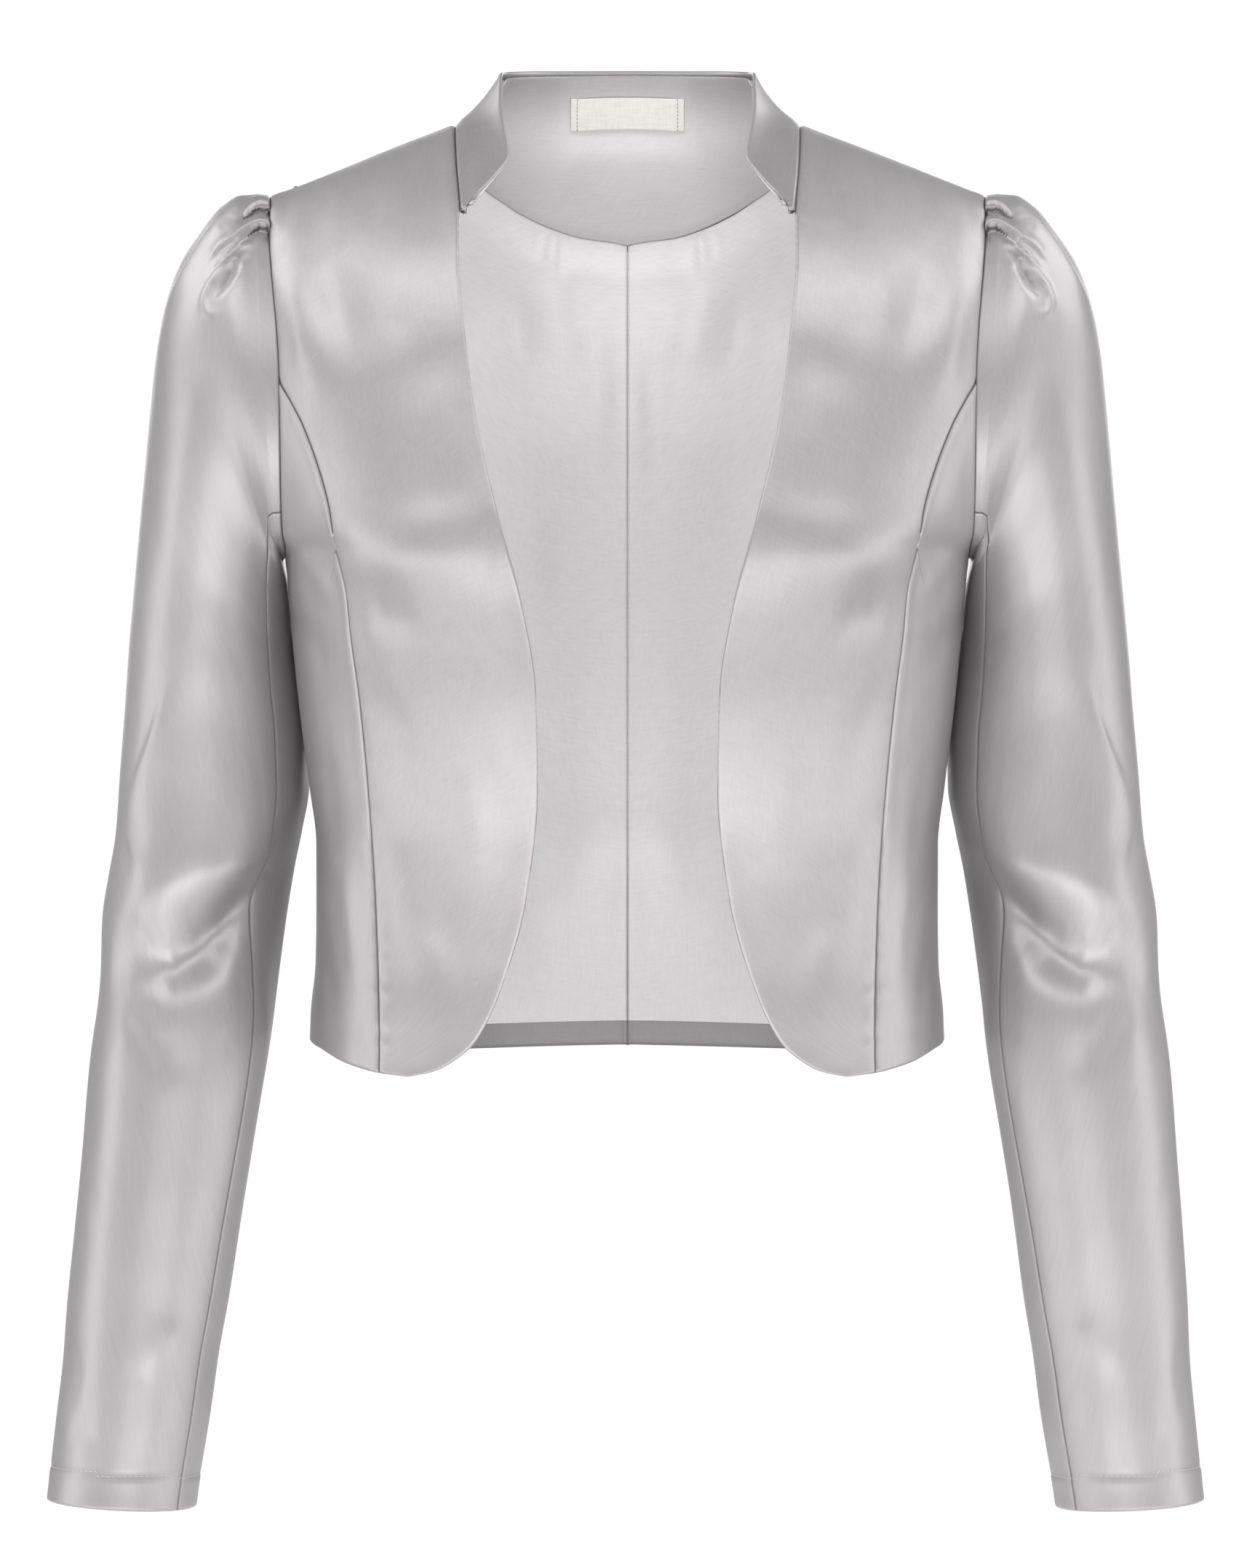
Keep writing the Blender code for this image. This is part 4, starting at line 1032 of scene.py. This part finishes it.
def set_light():
    """Large softboxes, a pale surround and a pale floor."""
    for box in SOFTBOXES:
        for side, name in SIDES:
            data = bpy.data.lights.new(box.name + "_" + name, "AREA")
            data.shape = "RECTANGLE"
            data.size, data.size_y = box.wide, box.tall
            data.energy = box.power
            light = new_object(data.name, data)
            turn = math.radians(box.turn) * side
            light.location = (box.away * math.sin(turn), -box.away * math.cos(turn), box.height)
            light.rotation_euler = (Vector(LIGHT_AIM) - light.location).to_track_quat("-Z", "Y").to_euler()
    world = bpy.data.worlds.new("studio")
    world.use_nodes = True
    tree = world.node_tree
    camera_ray = new_node(tree, "ShaderNodeLightPath")["Is Camera Ray"]
    strength = new_node(tree, "ShaderNodeMapRange", {"Value": camera_ray, "To Min": SURROUND, "To Max": 1.0})
    feed(tree, tree.nodes["Background"], {"Color": WHITE, "Strength": strength["Result"]})
    bpy.context.scene.world = world
    bpy.context.scene.view_settings.view_transform = "Standard"
    bpy.ops.mesh.primitive_circle_add(
        vertices=96, radius=FLOOR_RADIUS, fill_type="NGON", location=(0.0, 0.0, FLOOR_HEIGHT))
    floor = bpy.context.object
    floor.name = "floor"
    floor.data.materials.append(floor_coat())


def add_panel(side, name, panel, places, creases, front, left_sewn=1.0, puckered=None, reverse=0.0):
    """One panel of the body: a turned hem, its left edge sewn as far as given, the other edges sewn."""
    base = body_points(side, places)
    normals = outward(base, side, body_axis)
    edges = edge_distances(base)
    top, bottom, left, right = edges
    height = crease_heights(base, creases, laid_on_body(side, front, front), front) + soft_dents(base, "body")
    height += sewn_groove(top) + sewn_groove(left, left_sewn) + sewn_groove(right)
    if puckered is not None:
        height += puckers(edges[puckered], base[..., 2])
    share = turned(bottom) * turned(left, 1.0 - left_sewn)
    mark = np.maximum.reduce([seam_mark(top), seam_mark(left, left_sewn), seam_mark(right)])
    shell("satin_%s_%s" % (panel, name), panel + "_" + name, SATIN, base, normals, height, share, mark,
          reverse=reverse)


def add_lining(side, name):
    """Lining of one half of the back, with its gathers under the facing."""
    base = body_points(side, lining_places())
    normals = -outward(base, side, body_axis)
    top, bottom, left, right = edge_distances(base)
    folds = LINING_FOLDS * crease_heights(base, LINING_FORM, laid_on_body(side, False))
    free = smooth_step(bottom / 0.012) * smooth_step(left / 0.02)
    height = (folds + soft_dents(base, "lining")) * free + sewn_groove(right) * 0.35
    height += LINING_CLEARANCE * smooth_step(np.minimum(top, left) / 0.02)
    mark = np.maximum(seam_mark(right) * 0.45, seam_mark(top) * 0.3)
    # painted shade, darker towards the hem
    mark += LINING_PAINTED_SHADE * smooth_step(1.0 - bottom / LINING_PAINTED_SHADE_REACH)
    shell("lining_of_back_" + name, "lining_" + name, LINING, base, normals, height, turned(bottom), mark,
          wall=LINING_WALL, lift=LAYER_GAP)


def add_collar():
    """Collar, both halves in one, with turned edges all along its top and front."""
    base = both_halves(collar_points(0.0, 1.0, 40))
    normals = outward(base, 1, body_axis)
    top, bottom, left, right = edge_distances(base)
    height = soft_dents(base, "collar") * smooth_step(bottom / 0.01) * smooth_step(top / 0.01)
    height += sewn_groove(bottom) + COLLAR_RISE * smooth_step(bottom / 0.006)
    share = turned(top) * turned(left) * turned(right)
    shell("satin_collar", "collar", SATIN, base, normals, height, share, seam_mark(bottom))


def relaxed(points, rounds, strength):
    """The grid with its inner rows smoothed down the cloth."""
    points = points.copy()
    for _ in range(rounds):
        points[1:-1] += ((points[:-2] + points[2:]) / 2.0 - points[1:-1]) * strength[1:-1, None, None]
    return points


def add_facing():
    """Neck facing, which lines the collar and runs on down the back, and its two front ends."""
    back = shares(84, 0.11)
    collar = collar_points(0.0, FACING_TOP, 34)
    inside = collar[:, :len(back)]
    edge = places_above(along(FACING_EDGE, back), False)
    neck = places_above(along(NECK_BACK, back), False)
    down = shares(22, 0.026, end=True)
    shoulder = shoulder_seam(NECK_X, FACING_EDGE[-1][0], down, False)
    middle = centre_back(neck[0, 1], edge[0, 1], down)
    places = np.transpose(patch(middle, shoulder, neck, edge, even(down), even(back)), (1, 0, 2))
    half = np.concatenate([inside, body_points(1, places)[1:]])
    fold = bell(np.arange(len(half)) - len(inside) + 1.0, FACING_FOLD_ROWS)
    base = both_halves(relaxed(half, FACING_FOLD_ROUNDS, fold))
    normals = -outward(base, 1, body_axis)
    top, bottom, _, _ = edge_distances(base)
    height = soft_dents(base, "facing") * smooth_step(top / 0.008) + FACING_RISE * smooth_step(bottom / 0.006)
    # painted shade, darker towards the top and at the sides, and a dark seam line along the lower edge
    shade = 0.8 * smooth_step(1.0 - top / 0.030) + 0.25 * smooth_step((np.abs(base[..., 0]) - 0.03) / 0.05)
    shade = np.maximum(shade, 0.9 * bell(bottom, 0.0006))
    facing = shell("satin_facing", "neck_facing", FACING_SATIN_PAINTED_LIGHT, base, normals, height,
                   turned(top) * turned(bottom, 0.5), shade, wall=LINING_WALL, lift=LAYER_GAP)
    ends = collar[:, len(back) - 1:-FACING_END_SHORT]
    # the front ends, with painted shade all over
    for side, name in SIDES:
        base = ends * np.array([side, 1.0, 1.0])
        top, bottom, _, right = edge_distances(base)
        share = turned(top) * turned(right) * turned(bottom)
        shell("satin_facing_end_" + name, None, FACING_SATIN_PAINTED_LIGHT, base, -outward(base, side, body_axis), 0.0, share,
              FACING_END_PAINTED_SHADE, wall=LINING_WALL, lift=LAYER_GAP)
    return facing


def read_grid(grid, i, j):
    """Points of a grid between its rows and columns."""
    i0 = np.clip(i.astype(int), 0, grid.shape[0] - 2)
    j0 = np.clip(j.astype(int), 0, grid.shape[1] - 2)
    u, v = (i - i0)[..., None], (j - j0)[..., None]
    upper = grid[i0, j0] * (1 - v) + grid[i0, j0 + 1] * v
    lower = grid[i0 + 1, j0] * (1 - v) + grid[i0 + 1, j0 + 1] * v
    return upper * (1 - u) + lower * u


def add_label(facing):
    """Bare woven label on the neck facing, sewn at its two short ends."""
    middle = facing.shape[1] // 2
    tops, _, lefts, _ = edge_distances(facing)
    drop = tops[:, middle]
    down = np.interp(np.linspace(LABEL_DROP, LABEL_DROP + LABEL_DEEP, 25), drop, np.arange(len(drop)))
    across = LABEL_WIDE * (shares(80, LABEL_WIDE, start=True, end=True) - 0.5)
    runs = lefts - lefts[:, middle:middle + 1]
    columns = np.stack([np.interp(across, runs[int(round(row))], np.arange(facing.shape[1])) for row in down])
    base = read_grid(facing, down[:, None] + 0.0 * columns, columns)
    normals = -outward(base, 1, body_axis)
    _, _, left, right = edge_distances(base)
    ends = np.minimum(left, right)
    height = 0.0008 * smooth_step((ends - 0.003) / 0.006) - 0.0003 * bell(ends - LABEL_STITCH, 0.0008)
    height += soft_dents(base, "label") + 0.0003
    outer = shell("woven_label", "label", LABEL, base, normals, height, 1.0, wall=LABEL_WALL)
    for number, end in enumerate((left, right)):
        column = np.abs(end[0] - LABEL_STITCH).argmin()
        path = outer[1:-1, column] + normals[1:-1, column] * 0.0001
        row_name = "label_stitches_%d" % (number + 1)
        stitches(LABEL_STITCHES, "woven_label", row_name, path, LABEL_THREAD)


def softened(heights, rounds):
    """Heights on a grid, smoothed down and across it."""
    heights = heights.copy()
    for _ in range(rounds):
        heights[1:-1] = 0.5 * heights[1:-1] + 0.25 * (heights[:-2] + heights[2:])
        heights[:, 1:-1] = 0.5 * heights[:, 1:-1] + 0.25 * (heights[:, :-2] + heights[:, 2:])
    return heights


def add_sleeve(side, name):
    """Sleeve: pleats at its head, folds at the elbow, a seam at the front of its inner side, a cuff hem."""
    ring = np.concatenate([
        shares(14, 0.012, start=True), np.linspace(1.0, 8.0, 91)[1:],
        8.0 + 17.0 * shares(170, 0.55, end=True)[1:]])
    before = SLEEVE_SEAM * np.concatenate([
        np.linspace(0.0, 0.45, 70)[:-1], 0.45 + 0.55 * shares(44, 0.08, end=True)])
    behind = (360.0 - SLEEVE_SEAM) * np.concatenate([
        0.72 * shares(44, 0.12, start=True)[:-1], np.linspace(0.72, 1.0, 45)])
    angle = np.concatenate([SLEEVE_SEAM - 360.0 + behind, before[1:]])
    angle = np.where(angle < -180.0, angle + 360.0, angle)
    # one line less makes their number odd, as the shell needs it
    angle = np.delete(angle, 70)
    base = sleeve_points(side, ring, angle)
    normals = outward(base, side, sleeve_axis)
    top, bottom, left, right = edge_distances(base)
    ahead = laid_on_sleeve(base, normals, True)
    # the folds of the arm fade towards the back, and are softer at the sides
    arm = crease_heights(base, SLEEVE_ARM, ahead)
    forward = -normals[..., 1]
    sharp = smooth_step((forward - 0.55) / 0.3)
    arm = (arm * sharp + softened(arm, SIDE_ROUNDS) * (1.0 - sharp)) * smooth_step(forward / 0.5)
    height = crease_heights(base, SLEEVE_HEAD, ahead) + arm
    height += crease_heights(base, SLEEVE_BEHIND, laid_on_sleeve(base, normals, False), False)
    height += soft_dents(base, "sleeve") * smooth_step(top / 0.05)
    edges = np.minimum(left, right)
    stitch_line = bell(bottom - CUFF_STITCH, CUFF_GROOVE_REACH)
    height += sewn_groove(top) + sewn_groove(edges) * 0.4 - CUFF_GROOVE * stitch_line
    height += CUFF_RISE * smooth_step((CUFF_STITCH - bottom) / 0.002)
    # dark seam and stitch lines, and painted shade in the pleats' mouths
    mark = np.maximum.reduce([seam_mark(top), seam_mark(edges), 0.25 * stitch_line, mouth_painted_shade(base, ahead)])
    piece_name = "satin_sleeve_" + name
    outer = shell(piece_name, "sleeve_" + name, SATIN, base, normals, height, turned(bottom), mark)
    row, column = np.abs(bottom - CUFF_STITCH).argmin(axis=0), np.arange(outer.shape[1])
    path = outer[row, column] + normals[row, column] * 0.00005
    stitches(STITCHES, piece_name, "cuff_stitches_" + name, path, CUFF_THREAD)


def body_axis(points, side):
    """Points on the body's axis."""
    return np.stack([points[..., 0] * 0.0, points[..., 1] * 0.0, np.minimum(points[..., 2], -0.10)], axis=-1)


def sleeve_axis(points, side):
    """Points on the sleeve's axis."""
    heights = [-(row.out_z + row.in_z) / 2 for row in SLEEVE[1:]]
    x = smooth_value(heights, [(row.out_x + row.in_x) / 2 for row in SLEEVE[1:]], -points[..., 2])
    y = smooth_value(heights, [row.middle for row in SLEEVE[1:]], -points[..., 2])
    return np.stack([side * x, y, points[..., 2]], axis=-1)


def outward(base, side, axis):
    """Unit normals of a grid that point away from the axis."""
    normals = grid_normals(base)
    return normals if ((base - axis(base, side)) * normals).sum() > 0.0 else -normals


def both_halves(half):
    """One grid from the left half and its mirror image, rounded where they meet at the centre back."""
    mirrored = half[:, :0:-1] * np.array([-1.0, 1.0, 1.0])
    whole = np.concatenate([mirrored, half], axis=1)
    near = bell(np.arange(whole.shape[1]) - half.shape[1] + 1.0, MIDDLE_WIDTH)
    pull = near[None, :, None] * (np.linspace(1.0, 0.0, len(whole)) ** 0.3)[:, None, None]
    for _ in range(MIDDLE_ROUNDS):
        whole[:, 1:-1] += (whole[:, :-2] + whole[:, 2:] - 2.0 * whole[:, 1:-1]) / 4.0 * pull[:, 1:-1]
    return whole


def puckers(distance, height):
    """Small uneven puckers along a seam, stronger towards the hem."""
    wave = np.sin(height * 2.0 * math.pi / 0.013) + 0.6 * np.sin(height * 2.0 * math.pi / 0.0081 + 1.3)
    low = smooth_step((-0.30 - height) / 0.12) * 0.8 + 0.2
    return PUCKER_RISE * wave * low * bell(distance - PUCKER_REACH, PUCKER_REACH)


# Cut of each piece: its flat width and length, its flat area, and the pieces that carry it
CUTS = rows(
    "name wide long area carriers",
    ("satin_front", 0.15, 0.49, 0.0423, ("satin_back_left", "satin_back_right", "satin_collar")),
    ("satin_side_front", 0.10, 0.34, 0.0217, ("satin_front_left", "satin_front_right")),
    ("satin_back", 0.22, 0.49, 0.0878, ("satin_front_left", "satin_front_right", "satin_collar")),
    ("lining_of_back", 0.22, 0.41, 0.0797, ("satin_back_left", "satin_back_right", "satin_facing")),
    ("satin_sleeve", 0.36, 0.66, 0.158, ("satin_front_left", "satin_front_right")),
    ("satin_collar", 0.40, 0.07, 0.0127, ("satin_back_left", "satin_back_right")),
    ("satin_facing", 0.25, 0.09, 0.0145, ("satin_collar",)),
    ("satin_facing_end", 0.06, 0.05, 0.0018, ("satin_collar",)),
    ("woven_label", 0.056, 0.0155, 0.00086, ("satin_facing",)),
)


SIDES = ((1, "left"), (-1, "right"))
SEWN_ON = {}
set_camera()
SATIN = cloth_coat("satin", (0.365, 0.348, 0.354), (0.405, 0.388, 0.394), 0.43, 0.55, 0.0014)
# The facing's coat is the satin painted lighter: painted light inside the collar and down the back neck
FACING_SATIN_PAINTED_LIGHT = cloth_coat("satin_inside_painted_light", (0.66, 0.64, 0.65), (0.73, 0.71, 0.72), 0.50, 0.15, 0.0016)
LINING = cloth_coat("lining", (0.90, 0.885, 0.89), (0.95, 0.935, 0.94), 0.46, 0.06, 0.0020, sheen=0.20)
LABEL = cloth_coat("label", (0.76, 0.745, 0.705), (0.82, 0.80, 0.77), 0.85, 0.0, 0.0, grain=0.08, bump=0.6)
STITCHES = stitch_tree("stitches", thread_coat("thread", (0.66, 0.64, 0.66)))
LABEL_STITCHES = stitch_tree("label_stitches", thread_coat("label_thread", (0.36, 0.35, 0.34)))

for side, name in SIDES:
    add_panel(side, name, "back", back_places(), BACK_FORM, False, reverse=1.0)
    add_lining(side, name)
    places, neck_sewn = front_places()
    add_panel(side, name, "front", places, FRONT_FORM, True, neck_sewn, puckered=RIGHT_EDGE)
    add_panel(side, name, "side_front", side_places(), FRONT_FORM, True, puckered=LEFT_EDGE)
    add_sleeve(side, name)
add_collar()
add_label(add_facing())
set_light()
